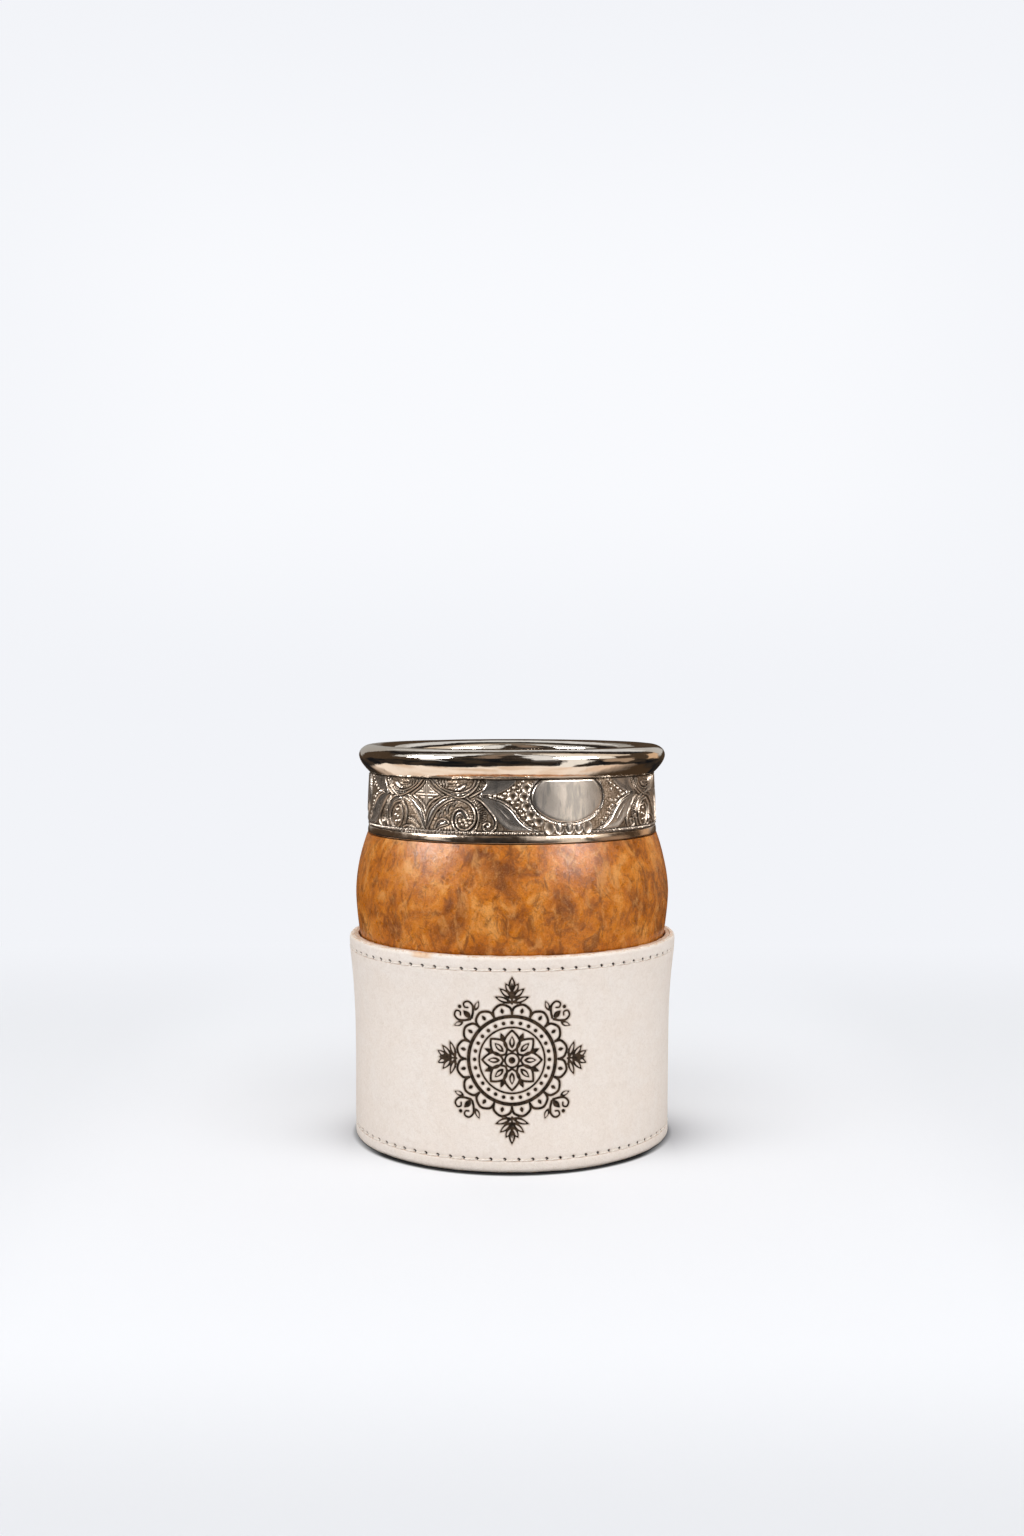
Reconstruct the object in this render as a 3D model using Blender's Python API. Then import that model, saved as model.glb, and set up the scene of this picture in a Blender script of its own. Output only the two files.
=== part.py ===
"""Mate gourd in a hand-sewn leather sleeve, with a nickel-silver ferrule.

The gourd with its ferrule is one assembly that stands in the sleeve like an egg in a cup and
lifts straight out. The origin is the centre of the base, on the table, +Z is up, the front faces
-Y and the back seam of the sleeve faces +Y. All sizes are in metres.
"""

import math

import bmesh
import bpy
from mathutils import Matrix, Vector

# Clearances
GAP = 0.0003  # between pieces that rest on or press against each other
SOLDER_GAP = 0.00015  # between two soldered sheets
THREAD_GAP = 0.00015  # between a thread and the leather under it
LIFT_CLEARANCE = 0.0003  # between the gourd and the mouth of the sleeve
SLIT_CLEARANCE = 0.0002  # round the strands in a stitch slit
LACE_CLEARANCE = 0.00025  # round the lace in its hole
WELD = 1e-6  # points closer than this are one

# Facets round the turned pieces
METAL_SIDES = 40
LEATHER_SIDES = 38

# Gourd
BELLY_RADIUS = 0.0452
BELLY_HEIGHT = 0.0690  # above the table
SHOULDER_RISE = 0.0171  # from the belly up to the ferrule
SHOULDER_DROP = 0.0034  # how much the radius falls over that rise
SHOULDER_CURVE = 1.85
BOWL_CURVE = 1.56
BOWL_FULLNESS = 2.3
GOURD_WALL = 0.0057
GOURD_FLOOR = 0.0070
GOURD_FOOT_RADIUS = 0.0060  # flat spot that it stands on
NECK_REBATE = 0.0016  # the neck is pared down so that the ferrule sits flush

# Ferrule: lower ring, chased band, rolled rim and inner collar
SHEET = 0.0006
LOWER_RING_HEIGHT = 0.0020
LOWER_RING_ROUND = 0.0002  # how far its face bulges
BAND_HEIGHT = 0.0148
BAND_TAPER = 0.0006  # how much the band narrows towards the rim
RIM_OVERHANG = 0.0032  # how far the rim stands out past the top of the band
RIM_CREST_IN = 0.0038  # from the rim's outermost circle in to its crest
RIM_RISE = 0.0029  # from the rim's widest level to its crest
RIM_ROUND = 0.0044  # radius of the lower part of the roll
RIM_NECK = 0.0008  # plain neck between the roll and the band
RIM_SKIRT = 0.0032  # how far the rim's outer skirt laps behind the band, down to the gourd's lip
COLLAR_LAP = 0.0030  # height over which the collar and the rim's bore lap
COLLAR_DEPTH = 0.0150  # from the gourd's lip down to the collar's lower edge
COLLAR_TAPER = 0.0006
CEMENT_HEIGHT = 0.0055
RIM_STEPS = 5  # facets in each quarter of the rim's skin
RIM_LINING_STEPS = 3  # facets in each quarter of the hollow inside

# Bare oval panels, raised from the band's own sheet and cut short by the rim
PANELS = 3
PANEL_ANGLE = math.radians(21.7)  # of the middle one, from the front towards +X
PANEL_PITCH = math.radians(111.8)  # from one panel to the next
PANEL_HALF_WIDTH = 0.0103
PANEL_HALF_HEIGHT = 0.0071
PANEL_DROP = 0.0047  # centre of the oval below the top of the band
PANEL_RISE = 0.0003
PANEL_SIDES = 28

# Leather sleeve
SLEEVE_TOP = 0.0573  # above the table
SLEEVE_FLARE = 0.00185
FLARE_CURVE = 4
WALL_THICKNESS = 0.0013
LINING_THICKNESS = 0.0010
EDGE_ROUND = 0.0009
WALL_FOOT_GAP = 0.0006  # the wall's lower edge clears the table
OUTSOLE_THICKNESS = 0.0008
PAN_THICKNESS = 0.0013

# Saddle stitching round both edges of the sleeve
STITCH_PAIRS = 38
THREAD_DIAMETER = 0.0005
STRAND_GAP = 0.0002  # between the two strands in a slit
TOP_SEAM_DROP = 0.0035  # below the top of the sleeve
BOTTOM_SEAM_RISE = 0.0012  # above the floor of the pan
FLANGE_MARGIN = 0.0043  # how far the pan's turned-up edge stands above its seam

# Laced seam that closes the wall at the back
SEAM_OPENING = 0.0003
LACE_DIAMETER = 0.0008
LACE_CROSSINGS = 9
LACE_HOLE_OFFSET = 0.0028  # from the seam to each column of holes
LACE_END_MARGIN = 0.0045  # between the lacing and the leather that is sewn at each end
LINING_MARGIN = 0.00075  # the lining stops this far short of the holes

# Counts, heights and radii that follow
STITCHES = 2 * STITCH_PAIRS
STRAND_OFFSET = (THREAD_DIAMETER + STRAND_GAP) / 2  # each strand's height off its slit's middle
SLIT_WIDTH = THREAD_DIAMETER + 2 * SLIT_CLEARANCE
SLIT_HEIGHT = SLIT_WIDTH + 2 * STRAND_OFFSET
LACE_HOLE_SIZE = LACE_DIAMETER + 2 * LACE_CLEARANCE
LINING_OPENING = 2 * (LACE_HOLE_OFFSET + LACE_HOLE_SIZE / 2 + LINING_MARGIN)
PAN_BOTTOM = OUTSOLE_THICKNESS + GAP
PAN_FLOOR = PAN_BOTTOM + PAN_THICKNESS
GOURD_BOTTOM = PAN_FLOOR + GAP
BOTTOM_SEAM_HEIGHT = PAN_FLOOR + BOTTOM_SEAM_RISE
FLANGE_TOP = BOTTOM_SEAM_HEIGHT + FLANGE_MARGIN
FERRULE_SEAT = BELLY_HEIGHT + SHOULDER_RISE
RING_BOTTOM = FERRULE_SEAT + GAP
BAND_BOTTOM = RING_BOTTOM + LOWER_RING_HEIGHT + SOLDER_GAP
BAND_TOP = BAND_BOTTOM + BAND_HEIGHT
NECK_TOP = BAND_TOP - RIM_SKIRT - GAP
SHOULDER_RADIUS = BELLY_RADIUS - SHOULDER_DROP
NECK_RADIUS = SHOULDER_RADIUS - NECK_REBATE
MOUTH_RADIUS = SHOULDER_RADIUS - GOURD_WALL
BAND_INNER_RADIUS = NECK_RADIUS + GAP
BAND_TOP_RADIUS = BAND_INNER_RADIUS + SHEET
BAND_BOTTOM_RADIUS = BAND_TOP_RADIUS + BAND_TAPER
COLLAR_RADIUS = MOUTH_RADIUS - GAP - SHEET  # inside, at the gourd's lip and in the rim's bore
RIM_RADIUS = BAND_TOP_RADIUS + RIM_OVERHANG
RIM_CREST_RADIUS = RIM_RADIUS - RIM_CREST_IN
RIM_SEAT = BAND_TOP + SOLDER_GAP
RIM_LEVEL = RIM_SEAT + RIM_NECK + math.sqrt(RIM_ROUND**2 - (RIM_ROUND - RIM_OVERHANG) ** 2)
TOP_SEAM_HEIGHT = SLEEVE_TOP - TOP_SEAM_DROP


def colour(name, rgb, roughness, metallic=0.0):
    """A plain material."""
    material = bpy.data.materials.new(name)
    material.use_nodes = True
    shader = material.node_tree.nodes["Principled BSDF"]
    shader.inputs["Base Color"].default_value = (*rgb, 1.0)
    shader.inputs["Roughness"].default_value = roughness
    shader.inputs["Metallic"].default_value = metallic
    return material


def link(mesh, name, material):
    """A new object of that mesh, shaded smooth between its sharp edges."""
    mesh.shade_smooth()
    mesh.set_sharp_from_angle(angle=math.radians(35))
    made = bpy.data.objects.new(name, mesh)
    bpy.context.scene.collection.objects.link(made)
    if material:
        mesh.materials.append(material)
    return made


def hide(cutter):
    """A cutter shapes other pieces and is no piece itself."""
    cutter.hide_render = True
    cutter.display_type = "WIRE"
    return cutter


def turned(name, outline, sides, material=None):
    """A ring or disc: a closed outline of (radius, height) points spun round the Z axis."""
    bm = bmesh.new()
    points = [bm.verts.new((radius, 0.0, height)) for radius, height in outline]
    edges = [bm.edges.new((points[i - 1], points[i])) for i in range(len(points))]
    on_axis = [edge for edge in edges if all(vert.co.x == 0 for vert in edge.verts)]
    bmesh.ops.delete(bm, geom=on_axis, context="EDGES")
    bmesh.ops.spin(
        bm,
        geom=bm.verts[:] + bm.edges[:],
        axis=(0, 0, 1),
        cent=(0, 0, 0),
        angle=math.tau,
        steps=sides,
        use_merge=True,
    )
    bmesh.ops.remove_doubles(bm, verts=bm.verts, dist=WELD)
    bmesh.ops.recalc_face_normals(bm, faces=bm.faces)
    mesh = bpy.data.meshes.new(name)
    bm.to_mesh(mesh)
    bm.free()
    return link(mesh, name, material)


def boxes(name, placed, size):
    """One cutter made of equal boxes, each at its own matrix."""
    bm = bmesh.new()
    for place in placed:
        bmesh.ops.create_cube(bm, size=1.0, matrix=place @ Matrix.Diagonal((*size, 1.0)))
    mesh = bpy.data.meshes.new(name)
    bm.to_mesh(mesh)
    bm.free()
    return hide(link(mesh, name, None))


def carve(target, cutter, operation="DIFFERENCE"):
    """Cuts the cutter out of the target, adds it, or keeps only what both share."""
    modifier = target.modifiers.new(cutter.name, "BOOLEAN")
    modifier.operation = operation
    modifier.solver = "EXACT"
    modifier.object = cutter


def tube(name, points, diameter, material):
    """A thread or lace: a four-sided tube along a list of points, with filled ends."""
    curve = bpy.data.curves.new(name, "CURVE")
    curve.dimensions = "3D"
    curve.bevel_depth = diameter / 2
    curve.bevel_resolution = 0
    curve.use_fill_caps = True
    spline = curve.splines.new("POLY")
    spline.points.add(len(points) - 1)
    for slot, point in zip(spline.points, points):
        slot.co = (*point, 1.0)
    curve.materials.append(material)
    made = bpy.data.objects.new(name, curve)
    bpy.context.scene.collection.objects.link(made)
    return made


def around(angle, radius, height):
    """A point at that angle, counted from +X."""
    return Vector((radius * math.cos(angle), radius * math.sin(angle), height))


def spread(low, high, count):
    """Evenly spaced numbers from low to high."""
    return [low + (high - low) * i / (count - 1) for i in range(count)]


def egg_radius(height, bottom, wide_radius):
    """Radius of the gourd's skin or of its cavity: a full bowl below the belly, a shoulder above."""
    if height < BELLY_HEIGHT:
        depth = min(1.0, (BELLY_HEIGHT - height) / (BELLY_HEIGHT - bottom))
        return wide_radius * (1 - depth**BOWL_CURVE) ** (1 / BOWL_FULLNESS)
    rise = (height - BELLY_HEIGHT) / SHOULDER_RISE
    return wide_radius - SHOULDER_DROP * rise**SHOULDER_CURVE


def gourd_radius(height):
    return egg_radius(height, GOURD_BOTTOM, BELLY_RADIUS)


def bowl_outline(bottom, wide_radius, foot_radius, steps):
    """(radius, height) points from the foot of the bowl up to the belly, closest near the foot."""
    outline = [(0.0, bottom), (foot_radius, bottom)]
    for share in spread(0, 1, steps + 2)[1:-1]:
        height = BELLY_HEIGHT - (BELLY_HEIGHT - bottom) * math.cos(share * math.pi / 2)
        radius = egg_radius(height, bottom, wide_radius)
        if radius > foot_radius:
            outline.append((radius, height))
    return outline


def gourd_shell(material):
    """The dried calabash: an egg with its top cut off and its neck pared for the ferrule."""
    heights = spread(BELLY_HEIGHT, FERRULE_SEAT, 5)
    skin = bowl_outline(GOURD_BOTTOM, BELLY_RADIUS, GOURD_FOOT_RADIUS, 8)
    skin += [(gourd_radius(height), height) for height in heights]
    neck = [(NECK_RADIUS, FERRULE_SEAT), (NECK_RADIUS, NECK_TOP), (MOUTH_RADIUS, NECK_TOP)]
    cavity_bottom = GOURD_BOTTOM + GOURD_FLOOR
    cavity_radius = BELLY_RADIUS - GOURD_WALL
    cavity = bowl_outline(cavity_bottom, cavity_radius, GOURD_FOOT_RADIUS, 5)
    cavity += [
        (egg_radius(height, cavity_bottom, cavity_radius), height) for height in heights[::2]
    ]
    return turned("gourd_shell", skin + neck + cavity[::-1], METAL_SIDES, material)


def band_radius(height):
    """Outer radius of the chased band, which narrows slightly towards the rim."""
    return BAND_BOTTOM_RADIUS - BAND_TAPER * (height - BAND_BOTTOM) / BAND_HEIGHT


def band_shell(name, low, high, inner, outer, material=None):
    """A ring between two heights and two offsets from the face of the band."""
    outline = [
        (band_radius(low) + inner, low),
        (band_radius(low) + outer, low),
        (band_radius(high) + outer, high),
        (band_radius(high) + inner, high),
    ]
    return turned(name, outline, METAL_SIDES, material)


def oval_panels():
    """The raised ovals, a thin shell on the band trimmed by oval prisms."""
    top = BAND_TOP - PANEL_RISE
    panels = band_shell("oval_panels", BAND_BOTTOM, top, -SHEET / 2, PANEL_RISE)
    oval = Matrix.Diagonal((PANEL_HALF_WIDTH, PANEL_HALF_HEIGHT, 1.0, 1.0))
    bm = bmesh.new()
    for i in range(PANELS):
        angle = PANEL_ANGLE + PANEL_PITCH * (i - (PANELS - 1) / 2)
        heading = Vector((math.sin(angle), -math.cos(angle), 0.0))
        turn = heading.to_track_quat("Z", "Y").to_matrix().to_4x4()
        centre = heading * BAND_TOP_RADIUS + Vector((0, 0, BAND_TOP - PANEL_DROP))
        bmesh.ops.create_cone(
            bm,
            cap_ends=True,
            segments=PANEL_SIDES,
            radius1=1.0,
            radius2=1.0,
            depth=BAND_TOP_RADIUS / 2,
            matrix=Matrix.Translation(centre) @ turn @ oval,
        )
    mesh = bpy.data.meshes.new("oval_prisms")
    bm.to_mesh(mesh)
    bm.free()
    carve(panels, hide(link(mesh, "oval_prisms", None)), "INTERSECT")
    return hide(panels)


def chased_band(material):
    """The ferrule's main sheet, a slightly tapered ring with oval panels raised from it."""
    band = band_shell("chased_band", BAND_BOTTOM, BAND_TOP, -SHEET, 0, material)
    carve(band, oval_panels(), "UNION")
    return band


def lower_ring(material):
    """Plain half-round edging soldered under the band, flush with it, on the gourd's shoulder."""
    face = BAND_BOTTOM_RADIUS - LOWER_RING_ROUND
    top = RING_BOTTOM + LOWER_RING_HEIGHT
    outline = [(BAND_INNER_RADIUS, RING_BOTTOM)]
    for angle in spread(-math.pi / 2, math.pi / 2, 4):
        height = (RING_BOTTOM + top + LOWER_RING_HEIGHT * math.sin(angle)) / 2
        outline.append((face + LOWER_RING_ROUND * math.cos(angle), height))
    outline.append((BAND_INNER_RADIUS, top))
    return turned("lower_ring", outline, METAL_SIDES, material)


def rim_quarter(centre, half_width, half_height, start, end, steps):
    """(radius, height) points on an ellipse at the rim's widest level."""
    return [
        (centre + half_width * math.cos(a), RIM_LEVEL + half_height * math.sin(a))
        for a in spread(start, end, steps + 1)
    ]


def rim_roll(inset, steps):
    """The rolled part of the rim, inset from its skin: out from the neck and over to the bore."""
    low_round = RIM_ROUND - inset
    start = -math.acos((RIM_ROUND - RIM_OVERHANG - inset) / low_round)
    rise = RIM_RISE - inset
    reach = RIM_CREST_RADIUS - COLLAR_RADIUS - inset
    top = math.pi / 2
    low = rim_quarter(RIM_RADIUS - RIM_ROUND, low_round, low_round, start, 0, steps)
    out = rim_quarter(RIM_CREST_RADIUS, RIM_CREST_IN - inset, rise, 0, top, steps)
    over = rim_quarter(RIM_CREST_RADIUS, reach, rise, top, math.pi, steps)
    return low + out[1:] + over[1:]


def rolled_rim(material):
    """The hollow rim: one sheet rolled over, with a skirt behind the band and one in the bore."""
    skirt = BAND_INNER_RADIUS - SOLDER_GAP
    skirt_bottom = NECK_TOP + GAP
    bore_bottom = NECK_TOP + COLLAR_LAP / 2
    outside = [(skirt, skirt_bottom), (skirt, RIM_SEAT), (BAND_TOP_RADIUS, RIM_SEAT)]
    outside += rim_roll(0, RIM_STEPS)
    bore = [(COLLAR_RADIUS, bore_bottom), (COLLAR_RADIUS + SHEET, bore_bottom)]
    inside = [(skirt - SHEET, skirt_bottom), (skirt - SHEET, RIM_SEAT + SHEET)]
    inside += rim_roll(SHEET, RIM_LINING_STEPS)
    return turned("rolled_rim", outside + bore + inside[::-1], METAL_SIDES, material)


def inner_collar(material):
    """Tapered tube in the gourd's mouth, joggled outwards to lap behind the rim's bore."""
    bore_bottom = NECK_TOP + COLLAR_LAP / 2
    lap = COLLAR_RADIUS + SHEET + SOLDER_GAP
    low = COLLAR_RADIUS - COLLAR_TAPER
    bottom = NECK_TOP - COLLAR_DEPTH
    step = bore_bottom - SOLDER_GAP * 2
    outline = [
        (low, bottom),
        (low + SHEET, bottom),
        (COLLAR_RADIUS + SHEET, NECK_TOP),
        (lap + SHEET, step),
        (lap + SHEET, bore_bottom + COLLAR_LAP),
        (lap, bore_bottom + COLLAR_LAP),
        (lap, step),
        (COLLAR_RADIUS, NECK_TOP),
    ]
    return turned("inner_collar", outline, METAL_SIDES, material)


def rim_cement(material):
    """Set cement inside the hollow rim, which beds it on the gourd's cut lip."""
    inner = COLLAR_RADIUS + 2 * SHEET + SOLDER_GAP + GAP
    outer = BAND_INNER_RADIUS - SOLDER_GAP - SHEET - GAP
    bottom = NECK_TOP + GAP
    top = bottom + CEMENT_HEIGHT
    outline = [(inner, bottom), (outer, bottom), (outer, top), (inner, top)]
    return turned("rim_cement", outline, METAL_SIDES, material)


def mouth_face():
    """Inner radius of the sleeve's mouth: the gourd clears the lining and the strands inside it."""
    widest = min(SLEEVE_TOP, BELLY_HEIGHT)
    at_mouth = gourd_radius(widest)
    at_seam = gourd_radius(widest - TOP_SEAM_DROP + SLIT_HEIGHT / 2) + THREAD_GAP + THREAD_DIAMETER
    return max(at_mouth, at_seam) + LIFT_CLEARANCE


MOUTH_WALL_RADIUS = mouth_face() + LINING_THICKNESS + GAP + WALL_THICKNESS


def wall_radius(height):
    """Outer radius of the sleeve: straight below, flared out to the gourd at its mouth."""
    climb = min(1.0, max(0.0, height) / TOP_SEAM_HEIGHT)
    return MOUTH_WALL_RADIUS - SLEEVE_FLARE * (1 - climb**FLARE_CURVE)


def lining_radius(height):
    """Outer radius of what lies against the inside of the wall."""
    return wall_radius(height) - WALL_THICKNESS - GAP


def flare_heights(bottom, top):
    """Heights from bottom to top, closer together where the sleeve flares."""
    return [bottom + (top - bottom) * share for share in (0.0, 0.4, 0.65, 0.85, 1.0)]


def sleeve_wall(material):
    """The outer leather, a strip bent into a ring, with both edges rounded on the outside."""
    foot = WALL_FOOT_GAP
    mouth = wall_radius(SLEEVE_TOP)
    rise = flare_heights(BOTTOM_SEAM_HEIGHT + SLIT_HEIGHT, TOP_SEAM_HEIGHT - SLIT_HEIGHT)
    outside = [
        (wall_radius(foot) - EDGE_ROUND / 2, foot),
        (wall_radius(foot), foot + EDGE_ROUND / 2),
    ]
    outside += [(wall_radius(height), height) for height in rise]
    for angle in spread(0, math.pi / 2, 3):
        inset = EDGE_ROUND * (1 - math.cos(angle))
        outside.append((mouth - inset, SLEEVE_TOP - EDGE_ROUND * (1 - math.sin(angle))))
    inside = [(mouth - WALL_THICKNESS, SLEEVE_TOP)]
    inside += [(wall_radius(height) - WALL_THICKNESS, height) for height in rise[:0:-1]]
    inside += [(wall_radius(foot) - WALL_THICKNESS, foot)]
    return turned("sleeve_wall", outside + inside, LEATHER_SIDES, material)


def sleeve_lining(material):
    """The inner leather, from above the pan's flange up to the mouth."""
    bottom = FLANGE_TOP + GAP
    heights = flare_heights(bottom, TOP_SEAM_HEIGHT - SLIT_HEIGHT) + [SLEEVE_TOP]
    outer = [(lining_radius(height), height) for height in heights]
    inner = [(radius - LINING_THICKNESS, height) for radius, height in outer[::-1]]
    return turned("sleeve_lining", outer + inner, LEATHER_SIDES, material)


def base_pan(material):
    """Moulded leather bottom, its edge turned up inside the wall and sewn to it."""
    outer = lining_radius(PAN_BOTTOM)
    outline = [
        (0.0, PAN_BOTTOM),
        (outer - PAN_THICKNESS, PAN_BOTTOM),
        (outer, PAN_BOTTOM + PAN_THICKNESS / 2),
        (outer, FLANGE_TOP),
        (outer - PAN_THICKNESS, FLANGE_TOP),
        (outer - PAN_THICKNESS, PAN_FLOOR),
        (0.0, PAN_FLOOR),
    ]
    return turned("base_pan", outline, LEATHER_SIDES, material)


def outsole(material):
    """Black disc that the sleeve stands on."""
    radius = lining_radius(0.0)
    outline = [
        (0.0, 0.0),
        (radius, 0.0),
        (radius, OUTSOLE_THICKNESS),
        (0.0, OUTSOLE_THICKNESS),
    ]
    return turned("outsole", outline, LEATHER_SIDES, material)


def slit_angle(index):
    """Angle of a stitch slit, counted from the back seam, which lies between two slits."""
    return math.pi / 2 + math.tau * (index + 0.5) / STITCHES


def stitch_slits(name, height):
    """Cutter for a row of slits through every layer of the sleeve."""
    reach = 4 * (WALL_THICKNESS + LINING_THICKNESS)
    middle = wall_radius(height)
    placed = [
        Matrix.Rotation(slit_angle(i), 4, "Z") @ Matrix.Translation((middle, 0, height))
        for i in range(STITCHES)
    ]
    return boxes(name, placed, (reach, SLIT_WIDTH, SLIT_HEIGHT))


def saddle_stitch(name, height, inner_face, material):
    """One thread sewn twice round: each slit holds two strands, and both faces are filled.

    On the outside every stitch climbs from the bottom of one slit to the top of the next. Both
    ends are tucked into the slit beside the back seam.
    """
    clear = THREAD_GAP + THREAD_DIAMETER / 2
    outside = (wall_radius(height) + clear) / math.cos(math.pi / STITCHES)
    inside = inner_face * math.cos(math.pi / LEATHER_SIDES) - clear
    tucked = wall_radius(height) - WALL_THICKNESS
    points = [around(slit_angle(0), tucked, height - STRAND_OFFSET)]
    for turn in range(2):
        for i in range(STITCHES):
            out = (i + turn) % 2 == 0
            radius = outside if out else inside
            tilt = STRAND_OFFSET if out else -STRAND_OFFSET
            points.append(around(slit_angle(i), radius, height - tilt))
            points.append(around(slit_angle(i + 1), radius, height + tilt))
    points.append(around(slit_angle(0), tucked, height + STRAND_OFFSET))
    return tube(name, points, THREAD_DIAMETER, material)


def lace_heights():
    """Heights of the holes, left and right in turn, above the pan and below the top seam."""
    low = FLANGE_TOP + LACE_END_MARGIN
    high = TOP_SEAM_HEIGHT - LACE_END_MARGIN
    return spread(low, high, 2 * LACE_CROSSINGS)


def lace_point(side, height, radius):
    """A point beside the back seam, at that distance from the axis."""
    across = side * LACE_HOLE_OFFSET
    return Vector((across, math.sqrt(radius**2 - across**2), height))


def lace_holes():
    """Cutter for the two columns of holes beside the back seam."""
    placed = []
    for i, height in enumerate(lace_heights()):
        side = -1 if i % 2 == 0 else 1
        spot = lace_point(side, height, wall_radius(height) - WALL_THICKNESS / 2)
        placed.append(Matrix.Translation(spot))
    return boxes("lace_holes", placed, (LACE_HOLE_SIZE, 4 * WALL_THICKNESS, LACE_HOLE_SIZE))


def back_lace(material):
    """Rawhide lace: over the seam on the outside, and back under it to the next hole."""
    clear = THREAD_GAP + LACE_DIAMETER / 2
    arch = MOUTH_WALL_RADIUS - math.sqrt(MOUTH_WALL_RADIUS**2 - LACE_HOLE_OFFSET**2)
    points = []
    for i, height in enumerate(lace_heights()):
        side = -1 if i % 2 == 0 else 1
        outside = lace_point(side, height, wall_radius(height) + clear + arch)
        inside = lace_point(side, height, wall_radius(height) - WALL_THICKNESS - clear)
        points += [inside, outside] if side < 0 else [outside, inside]
    return tube("back_lace", points, LACE_DIAMETER, material)


def main():
    for old in list(bpy.data.objects):
        bpy.data.objects.remove(old)

    gourd = colour("gourd_skin", (0.52, 0.20, 0.035), 0.35)
    polished = colour("polished_nickel_silver", (0.72, 0.69, 0.64), 0.08, 1.0)
    chased = colour("chased_nickel_silver", (0.50, 0.46, 0.41), 0.3, 1.0)
    cement = colour("cement", (0.70, 0.66, 0.58), 0.8)
    cream = colour("cream_leather", (0.83, 0.75, 0.68), 0.7)
    tan = colour("tan_leather", (0.74, 0.55, 0.38), 0.75)
    black = colour("black_leather", (0.02, 0.017, 0.015), 0.7)
    thread = colour("waxed_thread", (0.82, 0.76, 0.68), 0.6)

    gourd_shell(gourd)
    lower_ring(polished)
    chased_band(chased)
    rolled_rim(polished)
    inner_collar(polished)
    rim_cement(cement)

    wall = sleeve_wall(cream)
    lining = sleeve_lining(tan)
    pan = base_pan(tan)
    outsole(black)

    top_slits = stitch_slits("top_slits", TOP_SEAM_HEIGHT)
    bottom_slits = stitch_slits("bottom_slits", BOTTOM_SEAM_HEIGHT)
    back = Matrix.Translation((0, wall_radius(0), SLEEVE_TOP / 2))
    depth = 4 * (WALL_THICKNESS + LINING_THICKNESS + SLEEVE_FLARE)
    seam_cut = boxes("seam_cut", [back], (SEAM_OPENING, depth, 2 * SLEEVE_TOP))
    lining_cut = boxes("lining_cut", [back], (LINING_OPENING, depth, 2 * SLEEVE_TOP))
    for piece, cutters in (
        (wall, (seam_cut, top_slits, bottom_slits, lace_holes())),
        (lining, (lining_cut, top_slits)),
        (pan, (bottom_slits,)),
    ):
        for cutter in cutters:
            carve(piece, cutter)

    lining_face = lining_radius(TOP_SEAM_HEIGHT) - LINING_THICKNESS
    pan_face = lining_radius(PAN_BOTTOM) - PAN_THICKNESS
    saddle_stitch("top_stitching", TOP_SEAM_HEIGHT, lining_face, thread)
    saddle_stitch("bottom_stitching", BOTTOM_SEAM_HEIGHT, pan_face, thread)
    back_lace(cream)


main()
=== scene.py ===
"""Looks of the mate gourd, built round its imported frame: skins, ornament, threads, light and camera.

Shapes are in millimetres and scaled to metres as each mesh is made. Angles round the cup are in
radians, counted from the front (-Y) towards +X.
"""

from math import cos, pi, radians, sin, tan, tau

import bpy
import numpy as np
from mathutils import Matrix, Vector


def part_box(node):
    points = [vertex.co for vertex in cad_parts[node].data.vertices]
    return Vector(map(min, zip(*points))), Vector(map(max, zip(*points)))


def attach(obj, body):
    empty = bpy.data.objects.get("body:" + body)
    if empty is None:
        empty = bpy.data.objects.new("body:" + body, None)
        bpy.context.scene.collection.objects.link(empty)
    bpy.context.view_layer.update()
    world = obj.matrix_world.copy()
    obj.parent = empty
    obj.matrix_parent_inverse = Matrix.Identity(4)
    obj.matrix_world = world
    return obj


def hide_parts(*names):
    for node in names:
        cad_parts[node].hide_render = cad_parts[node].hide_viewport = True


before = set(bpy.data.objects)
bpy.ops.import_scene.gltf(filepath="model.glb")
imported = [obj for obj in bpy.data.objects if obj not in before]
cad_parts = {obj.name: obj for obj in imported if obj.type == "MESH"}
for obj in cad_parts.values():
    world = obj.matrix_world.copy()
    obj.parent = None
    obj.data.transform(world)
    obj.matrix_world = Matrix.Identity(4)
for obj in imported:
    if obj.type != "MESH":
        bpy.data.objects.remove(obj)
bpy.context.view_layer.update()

MM = 0.001
LACUNARITY = 2

# Camera in metres and pixels, fitted to the photograph's ellipses
IMAGE_HEIGHT = 1536
SENSOR = 36.0
CAMERA_DISTANCE = 0.468
CAMERA_HEIGHT = 0.1285
FOCAL_PIXELS = 1610.5
HORIZON_ROW = 684.9

# Lamps in metres, and the backdrop's colours in thousandths
LAMP_DISTANCE, LAMP_LEVEL = 0.95, 0.06
BACKGROUND = (890, 903, 940)
BRIGHT_BACKGROUND = (945, 955, 985)
FLOOR = (868, 882, 912)


def reach(node):
    """Outer radius, lowest and highest level of a CAD node."""
    low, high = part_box(node)
    return high.x / MM, low.z / MM, high.z / MM


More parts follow.
